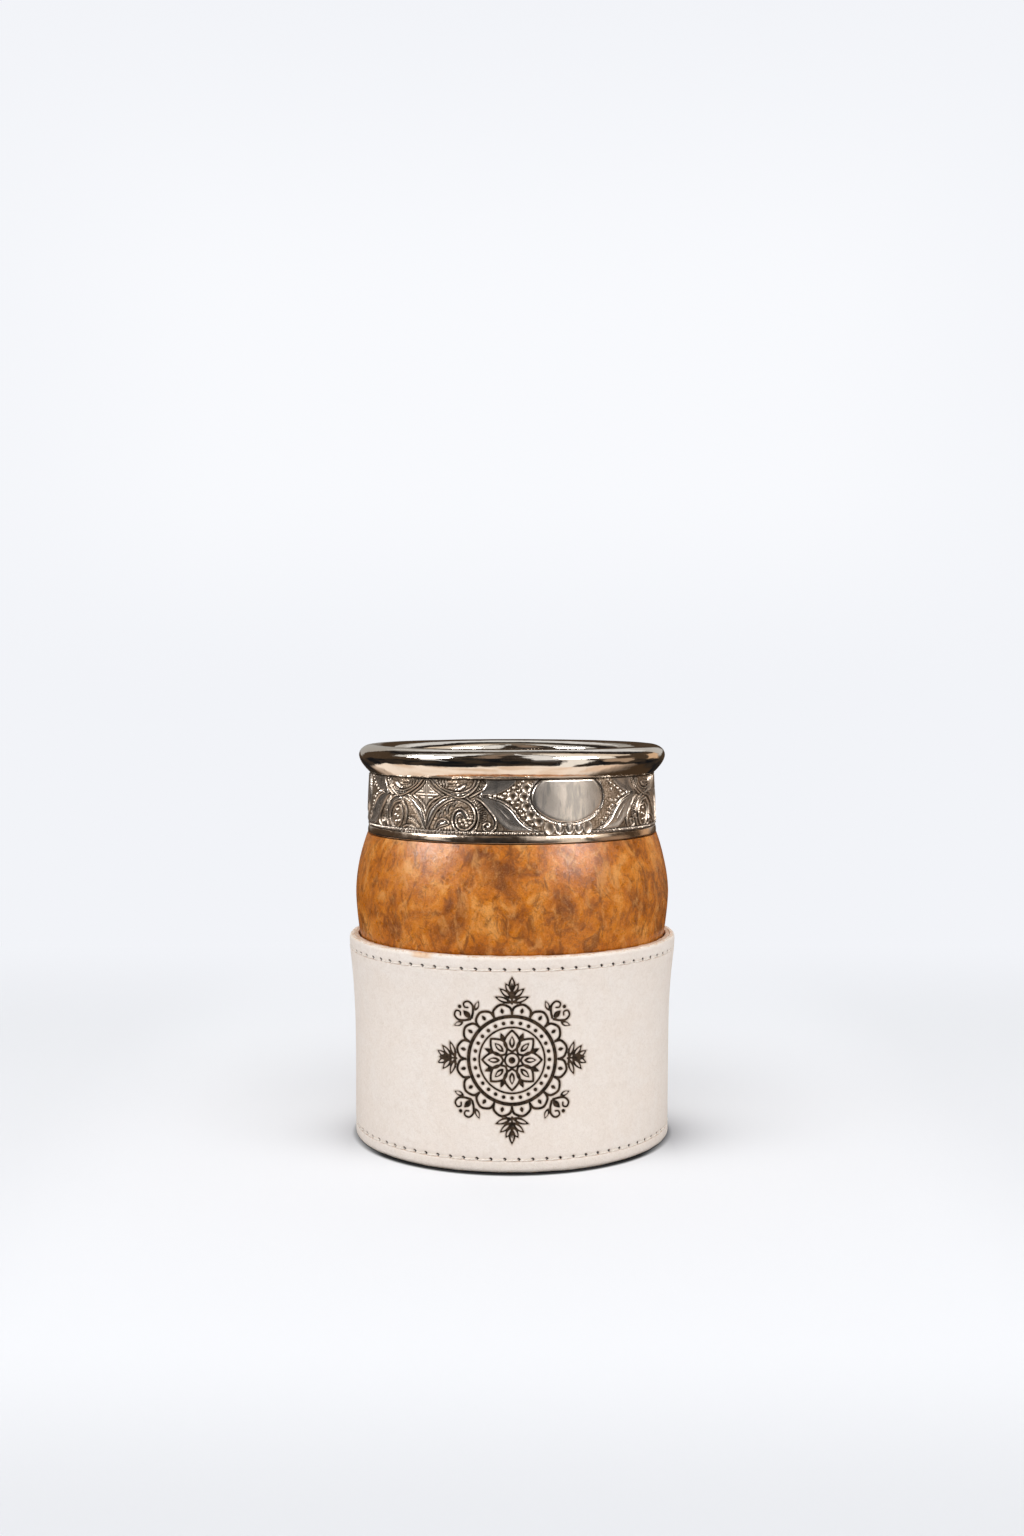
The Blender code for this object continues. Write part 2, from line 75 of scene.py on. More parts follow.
# Sizes that the frame gives
MOUTH_RADIUS, WALL_LOW, WALL_HIGH = reach("sleeve_wall")
_, LINING_LOW, LINING_HIGH = reach("sleeve_lining")
PAN_RADIUS, PAN_LOW, PAN_HIGH = reach("base_pan")
SOLE_RADIUS, SOLE_LOW, SOLE_HIGH = reach("outsole")
RING_RADIUS, RING_LOW, RING_HIGH = reach("lower_ring")
RIM_RADIUS, SKIRT_LOW, RIM_HIGH = reach("rolled_rim")
COLLAR_OUTER, COLLAR_LOW, COLLAR_HIGH = reach("inner_collar")
BELLY_RADIUS, GOURD_LOW, LIP_HIGH = reach("gourd_shell")
_, BAND_LOW, BAND_HIGH = reach("chased_band")
TOP_SEAM, BOTTOM_SEAM = (
    (low + high) / 2 for _, low, high in (reach("top_stitching"), reach("bottom_stitching"))
)

# Leather
WALL = 1.3
LINING = 1
PLY_GAP = 0.3
LINING_SHORT = 4.2
PAN = 1.3
FLARE = 1.85
FLARE_CURVE = 4
STITCHES = 76
PITCH = tau / STITCHES
THREAD = 0.42
HOLE_RISE = 0.16

# Metal
SHEET = 0.6
NECK_INNER = 40.5
BAND_FOOT_RADIUS = 41.7
BAND_TOP_RADIUS = 41.1
RIM_CREST_IN = 3.8
RIM_RISE = 2.9
COLLAR_INNER = 35.2
COLLAR_TAPER = 0.6

# Gourd
BELLY_LEVEL = 69
BELLY_FULLNESS, BELLY_CURVE = 1.56, 2.3
SHOULDER_RISE = 17.1
SHOULDER_DROP = 3.4
GOURD_WALL = 5.7
GOURD_FLOOR = 7
NECK_RADIUS = 40.2
LIP_RADIUS = 36.1


def ease(value):
    """0 below 0, 1 above 1 and a smooth step between."""
    value = np.clip(value, 0, 1)
    return value * value * (3 - 2 * value)


def ripple(angle, height, waves, seed):
    """Unevenness round the cup, about -1 to 1, that closes on itself."""
    random = np.random.default_rng(seed)
    total = 0
    for turns, pitch in waves:
        phase, lean = random.uniform(0, tau), random.uniform(-0.5, 0.5)
        total = total + np.sin(turns * angle + (tau / pitch + lean) * height + phase)
    return total / len(waves)


def ripple_round(angle, height, counts, seed):
    """The same, alike at every height."""
    return ripple(angle, 0 * height, [(count, 9) for count in counts], seed)


def drawn(points):
    """Points as an array, from pairs or from a text in tenths of a millimetre."""
    if isinstance(points, str):
        return np.array(points.split(), float).reshape(-1, 2) / 10
    return np.array(points, float)


def closed(outline):
    return np.vstack([outline, outline[:1]])


def smooth_line(points, step=0.3):
    """Closely spaced points on a curve through the given ones."""
    points = drawn(points)
    points = np.vstack([2 * points[0] - points[1], points, 2 * points[-1] - points[-2]])
    line = []
    for before, start, end, after in zip(points, points[1:], points[2:], points[3:]):
        count = max(2, round(float(np.linalg.norm(end - start)) / step))
        t = (np.arange(count) / count)[:, None]
        line.append(
            start
            + t * (end - before) / 2
            + t**2 * (2 * before - 5 * start + 4 * end - after) / 2
            + t**3 * (3 * start - before - 3 * end + after) / 2
        )
    return np.vstack(line + [points[-2:-1]])


def to_line(spots, line):
    """Each spot's distance to a line, and how far along it the nearest place is."""
    best = np.full(len(spots), np.inf)
    share = np.zeros(len(spots))
    for i, (start, end) in enumerate(zip(line, line[1:])):
        run = end - start
        t = np.clip((spots - start) @ run / max(run @ run, 1e-9), 0, 1)
        gap = spots - start - t[:, None] * run
        distance = np.hypot(gap[:, 0], gap[:, 1])
        closer = distance < best
        best[closer] = distance[closer]
        share[closer] = (i + t[closer]) / (len(line) - 1)
    return best, share


def inside(spots, outline):
    """Whether each spot lies within a closed outline."""
    odd = np.zeros(len(spots), bool)
    for (x0, y0), (x1, y1) in zip(outline, np.roll(outline, -1, axis=0)):
        crosses = (y0 > spots[:, 1]) != (y1 > spots[:, 1])
        at = x0 + (spots[:, 1] - y0) * (x1 - x0) / (y1 - y0 if y1 != y0 else 1)
        odd ^= crosses & (spots[:, 0] < at)
    return odd


class Drawing:
    """Spots on an unrolled sheet, all or some of them open to work."""

    def __init__(self, spots):
        self.spots = spots
        self.open = True

    def near(self, line, margin=1.5):
        """Numbers of the open spots in a line's box."""
        low, high = line.min(0) - margin, line.max(0) + margin
        return np.flatnonzero(np.all((self.spots > low) & (self.spots < high), axis=1) & self.open)


def placed(angle, radius, height):
    """Points round the axis."""
    angle, radius, height = np.broadcast_arrays(angle, radius, height)
    return np.stack([radius * np.sin(angle), -radius * np.cos(angle), height], axis=-1)


def finished(name, shape, look, body, node, marks=None, sharp=50):
    """An object that rides on a body and stands for a CAD node."""
    corners, faces = shape
    mesh = bpy.data.meshes.new(name)
    mesh.from_pydata((np.asarray(corners) * MM).tolist(), [], faces)
    for key, values in (marks or {}).items():
        attribute = mesh.attributes.new(key, "FLOAT", "POINT")
        attribute.data.foreach_set("value", np.asarray(values, np.float32).ravel())
    mesh.shade_smooth()
    mesh.set_sharp_from_angle(angle=radians(sharp))
    mesh.materials.append(look)
    made = added(name, mesh)
    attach(made, body)
    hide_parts(node)


def added(name, data):
    """A new object in the scene."""
    made = bpy.data.objects.new(name, data)
    bpy.context.scene.collection.objects.link(made)
    return made


def lathe(points, poles=None):
    """Corners and faces of a ring whose section runs up its outside, from points[column, place].

    The section closes on itself, or runs from pole to pole, two heights on the axis.
    """
    columns, places = points.shape[:2]
    here = np.arange(columns * places).reshape(columns, places)
    beside = np.roll(here, -1, axis=0)
    last = places - 1 if poles else places
    quads = np.stack([here, beside, np.roll(beside, -1, axis=1), np.roll(here, -1, axis=1)], axis=-1)
    faces = quads[:, :last].reshape(-1, 4).tolist()
    corners = points.reshape(-1, 3)
    if poles:
        low, high = len(corners), len(corners) + 1
        corners = np.vstack([corners, [[0, 0, pole] for pole in poles]])
        faces += [[low, b, a] for a, b in zip(here[:, 0].tolist(), beside[:, 0].tolist())]
        faces += [[a, b, high] for a, b in zip(here[:, -1].tolist(), beside[:, -1].tolist())]
    return corners, faces


def turns(count):
    """Evenly spaced angles round the cup, as a column."""
    return (np.arange(count) / count * tau)[:, None]


def section(points, step):
    """Straight runs cut into short ones, without the closing run."""
    points = [np.array(point, float) for point in points]
    cut = []
    for start, end in zip(points, points[1:]):
        count = max(1, round(float(np.linalg.norm(end - start)) / step))
        cut += [start + (end - start) * i / count for i in range(count)]
    return np.array(cut + points[-1:]).T


def arc(radius, level, width, height, start, end, steps):
    """Part of an ellipse, between two angles in quarter turns."""
    return [
        (radius + width * cos(a), level + height * sin(a))
        for a in np.linspace(start * pi / 2, end * pi / 2, steps + 1)
    ]


def rgba(colour):
    """A colour given in thousandths."""
    return (*(part / 1000 for part in colour), 1)


class Nodes:
    """Short calls that add nodes to a tree."""

    def __init__(self, tree, place):
        self.tree = tree
        self.place = self.node("TexCoord").outputs[place]

    def feed(self, socket, value):
        """Links a socket or sets its own value."""
        if isinstance(value, bpy.types.NodeSocket):
            self.tree.links.new(value, socket)
        else:
            socket.default_value = rgba(value) if socket.type == "RGBA" else value

    def node(self, kind, *values, **settings):
        """A new node, with values for the inputs that its settings leave in use."""
        made = self.tree.nodes.new("ShaderNode" + kind)
        for key, value in settings.items():
            setattr(made, key, value)
        for socket, value in zip([socket for socket in made.inputs if socket.enabled], values):
            self.feed(socket, value)
        return made

    def mark(self, name):
        """A value kept in the mesh."""
        return self.node("Attribute", attribute_name=name).outputs["Fac"]

    def maths(self, operation, *values):
        return self.node("Math", *values, operation=operation).outputs[0]

    def plus(self, first, second):
        return self.maths("ADD", first, second)

    def minus(self, first, second):
        return self.maths("SUBTRACT", first, second)

    def times(self, first, second):
        return self.maths("MULTIPLY", first, second)

    def off(self, value, centre=0):
        """How far the value is from a centre."""
        return self.maths("ABSOLUTE", self.minus(value, centre) if centre else value)

    def vector(self, operation, *values):
        return self.node("VectorMath", *values, operation=operation).outputs[0]

    def xyz(self, place=None):
        return self.node("SeparateXYZ", place or self.place).outputs

    def noise(self, size, detail=3, rough=0.5, warp=0, stretch=None):
        """Cloudy values near 0.5, with features of that size."""
        place = self.vector("MULTIPLY", self.place, stretch) if stretch else self.place
        values = place, 1 / (size * MM), detail, rough, LACUNARITY, warp
        return self.node("TexNoise", *values).outputs["Fac"]

    def cells(self, size):
        """Distance to the nearest of scattered points."""
        return self.node("TexVoronoi", self.place, 1 / (size * MM)).outputs["Distance"]

    def step(self, value, low, high, to_low=0, to_high=1):
        """The value moved from one range to another, held at the ends."""
        values = value, low, high, to_low, to_high
        return self.node("MapRange", *values, interpolation_type="SMOOTHSTEP").outputs[0]

    def mix(self, share, first, second):
        return self.node("Mix", share, first, second, data_type="RGBA").outputs[2]

    def ramp(self, value, stops):
        """A colour read from a row of (place, colour) stops."""
        made = self.node("ValToRGB", value)
        stripes = made.color_ramp.elements
        for i, (place, colour) in enumerate(stops):
            stripe = stripes[i] if i < 2 else stripes.new(place)
            stripe.position = place
            stripe.color = rgba(colour)
        return made.outputs["Color"]


class Look(Nodes):
    """A material round one principled shader, its colour laid on in coats."""

    def __init__(self, name, roughness=0.5, metallic=0):
        self.material = bpy.data.materials.new(name)
        self.material.use_nodes = True
        super().__init__(self.material.node_tree, "Object")
        self.shader = self.tree.nodes["Principled BSDF"]
        self.colour = self.normal = None
        self.set(Roughness=roughness, Metallic=metallic)

    def set(self, **sockets):
        for key, value in sockets.items():
            self.feed(self.shader.inputs[key.replace("_", " ")], value)

    def coat(self, share, colour):
        """Lays a colour over what there is."""
        self.colour = self.mix(share, self.colour, colour)

    def bump(self, height, depth):
        """Tilts the surface by a height from 0 to 1, times a depth."""
        made = self.node("Bump", 1, depth * MM)
        self.feed(made.inputs["Height"], height)
        if self.normal:
            self.feed(made.inputs["Normal"], self.normal)
        self.normal = made.outputs[0]

    def done(self, **sockets):
        self.set(Base_Color=self.colour, Normal=self.normal, **sockets)
        return self.material


# Materials


def gourd_look():
    """Lacquered calabash with clouds, blots, pale veils and scratches."""
    look = Look("gourd_lacquer")
    look.colour = look.ramp(look.noise(10.5, 7, 0.66, 0.9), [
        (0.34, (220, 56, 6)),
        (0.42, (400, 108, 7)),
        (0.49, (560, 155, 6)),
        (0.56, (660, 200, 8)),
        (0.65, (820, 340, 70)),
    ])
    fibres = look.noise(0.5, 5, 0.72, 1)
    for value, low, high, share, colour in (
        (look.noise(5.5, 6, 0.7, 1.6, (1.1, 1.1, 0.75)), 0.5, 0.66, 0.78, (190, 56, 9)),
        (look.noise(1.8, 6, 0.78, 0.6), 0.5, 0.66, 0.62, (200, 60, 9)),
        (look.noise(4.6, 5, 0.66, 0.9, (1.2, 1.2, 0.7)), 0.5, 0.7, 0.62, (760, 340, 90)),
        (fibres, 0.52, 0.72, 0.42, (740, 340, 110)),
        (fibres, 0.48, 0.3, 0.58, (200, 58, 8)),
    ):
        look.coat(look.step(value, low, high, 0, share), colour)
    hair = look.step(look.off(look.noise(1.1, 2, 0.5, 2.2), 0.5), 0, 0.016, 1, 0)
    hair = look.times(hair, look.step(look.noise(8, 2), 0.46, 0.62))
    look.coat(look.times(hair, 0.4), (800, 440, 190))
    cavity = look.mark("cavity")
    raw = look.step(look.noise(2.5, 4, 0.6), 0.35, 0.7)
    look.coat(cavity, look.mix(raw, (360, 220, 100), (200, 110, 45)))
    rough = look.step(look.noise(2, 4, 0.6), 0.3, 0.7, 0.26, 0.4)
    rough = look.maths("MAXIMUM", rough, look.times(cavity, 0.85))
    look.bump(look.step(look.cells(1.3), 0, 0.16), 0.02)
    look.bump(look.noise(0.4, 4, 0.65, 0.8), 0.03)
    look.bump(look.noise(2.4, 4, 0.6), 0.1)
    return look.done(Roughness=rough, Specular_IOR_Level=0.28)


def mirror_look(name, tint, roughness):
    """Polished nickel silver with faint hand marks."""
    look = Look(name, metallic=1)
    darkening = look.step(look.noise(9, 3, 0.6), 0.42, 0.75, 0, 0.5)
    look.colour = look.mix(darkening, tint, tuple(0.8 * part for part in tint))
    look.bump(look.noise(3.2, 2), 0.05)
    worn = look.noise(2.2, 4, 0.65)
    return look.done(Roughness=look.step(worn, 0.35, 0.8, roughness, roughness * 2.2))


def chased_look():
    """Nickel silver, its hollows dark with oxide and its tops rubbed bright, with painted shade along
    its top under the rim.
    """
    look = Look("chased_silver", metallic=0.9)
    plain = look.mark("plain")
    cloud = look.noise(3, 4, 0.6)
    bright = look.mix(look.step(cloud, 0.35, 0.7), (740, 605, 485), (500, 395, 295))
    look.colour = look.mix(look.step(cloud, 0.3, 0.7), (200, 138, 88), (125, 83, 52))
    look.coat(look.mark("rubbed"), bright)
    look.coat(look.times(plain, 0.6), (780, 730, 680))
    smear = look.noise(2.2, 4, 0.6, 0.3, (1, 1, 0.3))
    look.coat(look.times(plain, look.step(smear, 0.46, 0.68, 0, 0.55)), (270, 258, 242))
    # Dark oxide in the hollows, and painted shade in the strip under the rim.
    look.coat(look.mark("oxide"), (28, 19, 13))
    look.bump(look.noise(0.5, 3, 0.6, 0, (1, 1, 0.12)), 0.012)
    return look.done(Roughness=look.mix(plain, (480, 480, 480), (250, 250, 250)))


def cream_look():
    """Cream leather with pale cut edges and burnt lines, and painted shade: a tan line under each seam's
    thread and dark dots in the stitch and lace holes.
    """
    look = Look("cream_leather", roughness=0.6)
    cloud = look.step(look.noise(11, 5, 0.62, 0.8), 0.35, 0.68)
    look.colour = look.mix(cloud, (915, 812, 725), (930, 842, 766))
    smudge = look.step(look.noise(1.6, 6, 0.78, 1), 0.42, 0.68, 0, 0.36)
    look.coat(smudge, (770, 655, 560))
    vein = look.off(look.noise(1.5, 4, 0.65, 1.4), 0.5)
    look.coat(look.step(vein, 0, 0.024, 0.38, 0), (680, 560, 460))
    look.coat(look.step(look.noise(0.45, 4, 0.75), 0.58, 0.78, 0, 0.3), (620, 520, 440))
    fibre = look.noise(0.9, 5, 0.7, 0.5, (1, 1, 2.4))
    look.coat(look.mark("raw"), look.ramp(fibre, [
        (0.37, (700, 440, 250)),
        (0.45, (860, 700, 540)),
        (0.54, (960, 890, 820)),
    ]))
    x, y, z = look.xyz()
    turn = look.maths("ARCTAN2", x, look.times(y, -1))
    turn = look.maths("MULTIPLY_ADD", look.minus(turn, pi), 1 / PITCH, -0.5)
    along = look.times(look.minus(turn, look.maths("ROUND", turn)), MOUTH_RADIUS * PITCH * MM)
    patchy = look.step(look.noise(1.7, 2), 0.36, 0.56, 0.25, 1)
    for seam in (TOP_SEAM, BOTTOM_SEAM):
        up = look.minus(z, seam * MM)
        # Painted shadow: a patchy tan line just under each seam's thread.
        darkening = look.step(look.off(look.plus(up, 0.34 * MM)), 0.04 * MM, 0.2 * MM, 0.75, 0)
        look.coat(look.times(darkening, patchy), (560, 360, 240))
        # Painted shade in each stitch hole: a dot, brown at its edge and black in the middle.
        up = look.minus(up, HOLE_RISE * MM)
        lean = look.maths("MULTIPLY_ADD", up, 0.35, along)
        gap = look.maths("SQRT", look.maths("MULTIPLY_ADD", lean, lean, look.times(up, up)))
        look.coat(look.step(gap, 0.34 * MM, 0.6 * MM, 0.85, 0), (240, 110, 55))
        look.coat(look.step(gap, 0.3 * MM, 0.45 * MM, 1, 0), (12, 7, 5))
    look.coat(look.mark("torn"), look.mix(fibre, (700, 400, 200), (960, 740, 540)))
    # Painted shade in the lace holes: dark brown.
    look.coat(look.step(look.mark("hole"), 0.3, 0.58, 1, 0), (60, 32, 20))
    wobble = look.times(look.minus(look.noise(0.8, 3, 0.6), 0.5), 0.12)
    burn = look.plus(look.mark("burn"), wobble)
    look.coat(look.step(burn, 0, 0.5, 0.42, 0), (330, 190, 100))
    burnt = look.step(burn, -0.08, 0.05, 1, 0)
    char = look.step(look.noise(1.1, 3, 0.6), 0.34, 0.68)
    look.coat(burnt, look.mix(char, (14, 8, 4), (75, 45, 25)))
    look.bump(look.step(look.cells(0.5), 0, 0.5), 0.025)
    look.bump(look.noise(0.28, 3, 0.6), 0.025)
    look.bump(look.noise(1.8, 5, 0.6, 0.8), 0.12)
    return look.done(Specular_IOR_Level=look.maths("MULTIPLY_ADD", burnt, -0.35, 0.45))


def hide_look(name, pale, dark, size, roughness):
    """Raw or dyed leather with its fibres showing."""
    look = Look(name, roughness=roughness)
    look.colour = look.mix(look.step(look.noise(size, 5, 0.65), 0.32, 0.7), dark, pale)
    look.bump(look.noise(size / 6, 4, 0.7), 0.06)
    return look.done()


def thread_look():
    """Waxed linen thread, a little soiled, with painted shade in the grooves between its plies."""
    look = Look("waxed_thread", roughness=0.55)
    soil = look.step(look.noise(0.9, 3, 0.6), 0.35, 0.7)
    clean = look.mix(soil, (930, 880, 820), (850, 770, 690))
    # Painted shade: darker tan in the grooves between the two plies.
    look.colour = look.mix(look.mark("ply"), (780, 680, 580), clean)
    look.bump(look.noise(0.12, 3, 0.6), 0.015)
    return look.done()


def cement_look():
    """Set cement with sand grains."""
    look = Look("set_cement", roughness=0.9)
    grain = look.noise(0.6, 4, 0.7)
    look.colour = look.mix(grain, (600, 560, 490), (760, 720, 640))
    look.bump(grain, 0.08)
    return look.done()


# Gourd and plain metal


def egg_radius(height, bottom, wide):
    """Radius of the gourd's skin or cavity."""
    depth = np.clip((BELLY_LEVEL - height) / (BELLY_LEVEL - bottom), 0, 1)
    bowl = wide * (1 - depth**BELLY_FULLNESS) ** (1 / BELLY_CURVE)
    rise = np.clip((height - BELLY_LEVEL) / SHOULDER_RISE, 0, 2)
    return np.where(height < BELLY_LEVEL, bowl, wide - SHOULDER_DROP * rise**1.85)


def bowl_heights(bottom, steps):
    """Heights up to the belly, closest near the bottom."""
    share = np.linspace(0.03, 1, steps)
    return BELLY_LEVEL - (BELLY_LEVEL - bottom) * np.cos(share * pi / 2)


def make_gourd():
    """The calabash's uneven skin, its lip and its raw cavity."""
    seat = BELLY_LEVEL + SHOULDER_RISE
    skin = np.concatenate([bowl_heights(GOURD_LOW, 90), np.linspace(BELLY_LEVEL, seat, 28)[1:]])
    floor = GOURD_LOW + GOURD_FLOOR
    cavity = np.concatenate([bowl_heights(floor, 34), np.linspace(BELLY_LEVEL, seat, 8)[1:]])[::-1]
    radius = np.concatenate([
        egg_radius(skin, GOURD_LOW, BELLY_RADIUS),
        [NECK_RADIUS, NECK_RADIUS, LIP_RADIUS],
        egg_radius(cavity, floor, BELLY_RADIUS - GOURD_WALL),
    ])
    height = np.concatenate([skin, [seat, LIP_HIGH, LIP_HIGH], cavity])
    angle = turns(420)
    waves = [(2, 90), (3, 60), (5, 45), (7, 34), (11, 23), (4, -50), (9, -28)]
    uneven = ripple(angle, height, waves, 4)
    outer = np.arange(len(height)) < len(skin)
    free = ease((seat - height) / 10)
    held = free * ease(np.abs(height - WALL_HIGH) / 8)
    swell = np.where(outer, (0.16 * uneven - 0.1) * held, 0.12 * uneven * free)
    cavity_mark = np.broadcast_to((~outer).astype(float), (len(angle), len(height)))
    marks = {"cavity": np.concatenate([cavity_mark.ravel(), [0, 1]])}
    shape = lathe(placed(angle, radius + swell, height), (GOURD_LOW, floor))
    finished("gourd_skin", shape, gourd_look(), "gourd", "gourd_shell", marks)


def bezier(corners, steps):
    """Points on the cubic curve of four control points."""
    a, b, c, d = np.array(corners, float)
    t = np.linspace(0, 1, steps + 1)[:, None]
    return list((1 - t) ** 3 * a + 3 * t * (1 - t) ** 2 * b + 3 * t**2 * (1 - t) * c + t**3 * d)


def rim_section(inset, steps):
    """The rim's roll, inset from its skin: out from the neck and over to the bore."""
    level = RIM_HIGH - RIM_RISE
    edge = RIM_RADIUS - inset
    crest = RIM_RADIUS - RIM_CREST_IN
    rise = RIM_RISE - inset
    foot = BAND_TOP_RADIUS - inset
    seat = BAND_HIGH + inset
    start = (foot, seat + 0.15), (foot + 0.35, seat + 0.55)
    roll = bezier([*start, (edge, seat + 3.05), (edge, level)], steps)
    roll += arc(crest, level, RIM_CREST_IN - inset, rise, 0, 1, steps)[1:]
    return roll + arc(crest, level, crest - COLLAR_INNER - inset, rise, 1, 2, steps)[1:]


def make_rim(look):
    """One sheet from its skirt behind the band, over, and down into the bore."""
    skirt = NECK_INNER - 0.15
    bore_low = LIP_HIGH + 1.5
    seat = BAND_HIGH + 0.15
    outside = [(skirt, SKIRT_LOW), (skirt, seat)] + rim_section(0, 28)
    bore = [(COLLAR_INNER, bore_low), (COLLAR_INNER + SHEET, bore_low)]
    lining = [(skirt - SHEET, SKIRT_LOW)] + rim_section(SHEET, 8)
    radius, height = np.array(outside + bore + lining[::-1]).T
    angle = turns(400)
    rolled = ease((height - seat - 1) / 3)
    waves = [(3, 40), (5, -30), (8, 25), (13, 18), (17, -20), (23, 15)]
    sway = 0.045 * ripple(angle, height, waves, 11) * rolled
    lift = 0.035 * ripple(angle, height, waves, 12) * rolled
    shape = lathe(placed(angle, radius + sway - 0.05 * rolled, height + lift - 0.04 * rolled))
    finished("rim", shape, look, "gourd", "rolled_rim")


def make_collar(look):
    """The tapered tube in the mouth, with a burred lower edge."""
    lap = COLLAR_OUTER - SHEET
    foot = COLLAR_INNER - COLLAR_TAPER
    bend = LIP_HIGH + 1.2
    outer = [(foot, COLLAR_LOW), (foot + SHEET, COLLAR_LOW), (COLLAR_INNER + SHEET, LIP_HIGH)]
    outer += [(COLLAR_OUTER, bend), (COLLAR_OUTER, COLLAR_HIGH)]
    inner = [(lap, COLLAR_HIGH), (lap, bend), (COLLAR_INNER, LIP_HIGH)]
    radius, height = section(outer + inner, 1.5)
    angle = turns(240)
    sway = 0.05 * ripple(angle, height, [(2, 30), (5, 20), (9, -16)], 21)
    shape = lathe(placed(angle, radius + sway * ease((LIP_HIGH - height) / 5), height))
    finished("collar", shape, look, "gourd", "inner_collar")


def make_ring(look):
    """The plain edging under the band, filed by hand to a slight lean."""
    bulge = 0.2
    middle, half = (RING_LOW + RING_HIGH) / 2, (RING_HIGH - RING_LOW) / 2
    outline = arc(RING_RADIUS - bulge, middle, bulge, half, -1, 1, 10)
    outline += [(NECK_INNER, RING_HIGH), (NECK_INNER, RING_LOW)]
    radius, height = np.array(outline).T
    angle = turns(360)
    sway = 0.03 * ripple(angle, height, [(4, 9), (9, 7), (15, -6)], 31) - 0.03
    sway = sway - 0.12 * (height - middle) / half
    shape = lathe(placed(angle, radius + np.where(radius > NECK_INNER, sway, 0), height))
    finished("edging", shape, look, "gourd", "lower_ring")


# Chased band. Across is counted from the axis of an oval panel, up from the band's lower edge.
FRONT_COLUMNS, REAR_COLUMNS = 560, 590
FRONT_SECTOR = radians(140)
BAND_ROWS = 77
PANEL_ANGLE = radians(21.7)
PANEL_PITCH = radians(111.8)
PANEL_WIDE, PANEL_TALL = 10.3, 6.8
PANEL_CENTRE = 10.1
GROUND, DEEP, SUNK, FLAT, PROUD = -0.36, -0.46, -0.22, -0.08, 0.06
STAR_AXIS = PANEL_PITCH / 2 * BAND_TOP_RADIUS
STAR_CENTRE = 10.3
EDGE_BEADS = 0.55

STAR_EDGES = (
    drawn("346 103 363 97 376 91 390 80 399 62 404 37"),
    drawn("346 103 361 112 376 121 390 134 400 152"),
)
FOOT_EDGE = drawn("404 10 399 36 390 63 378 75 367 85 354 94 341 100 326 102")
SPIRAL = drawn("""
    402 -4 392 18 383 36 376 49 365 65 352 76 337 86 322 92 304 95 284 90 270 82 260 69 255 52 256 35 263
    24 273 16 285 13 297 16 305 24 308 35 305 45 298 50 292 46""")
SPIRAL_BACK = drawn("""
    280 100 262 85 249 68 245 49 247 30 255 13 268 4 284 2 300 8 313 19 319 34 318 49 310 63 296 69 284
    63 275 50 272 37""")
SPIRAL_HOLLOW = drawn("""
    274 91 260 78 252 62 250 46 252 31 259 19 270 10 284 7.5 298 12 309 21 313.5 34 312 47 306 57 295 61
    287 55 281 44""")
LOOP = drawn("402 -4 388 27 368 60 345 83 314 95 289 98 266 90 249 72 242 48 246 24 258 4")
LOOP_INNER = drawn("305 84 279 77 263 58 260 36 272 16 289 10 307 22 316 44 312 63 297 72 284 66")
CROWN_LOW = drawn("""
    402 156 383 141 372 130 356 119 339 111 322 104 306 99.5 292 99.5 280 104 264 114 253 125 246 139 244
    154""")
CROWN_HIGH = drawn("""
    372 154 369 142 361 131 346 121 329 115 310 112 292 113 274 119 261 129 256 140 255 154""")
CURL = drawn("""
    250 97 238 90 224 76 212 62 202 48 197 34 200 19 211 9 225 10 232 20 228 31 219 33 214 26 219 21""")
LEAF_TOP = drawn("246 105 226 103 207 98 188 92 170 82 155 69 144 55 132 39 113 24 86 11")
LEAF_LOW = drawn("86 11 118 9.5 151 10 170 17 185 29 196 42 207 55 220 72 234 90 246 105")
HIGH_LEAF = drawn("242 107 211 108 188 114 168 124 151 138 142 155 220 155 225 136 234 122")
FAN_EDGE = drawn("374 3 369 21 361 35 348 41 334 38 328 28")
FAN_LOBE = drawn("376 0 365 13 350 21 332 26")
EYELETS = drawn("154 103 123.5 101 118 125 116.5 76 105.5 53 85 36")
BEADS = drawn("""
    165 118 175 110 167 94 154 86 138 118 136 134 127 53 139 87 189 103 202 104 214 105.5 182 100 151 126
    126 143 142 73 133 64 115 40 103 29 99 136""")


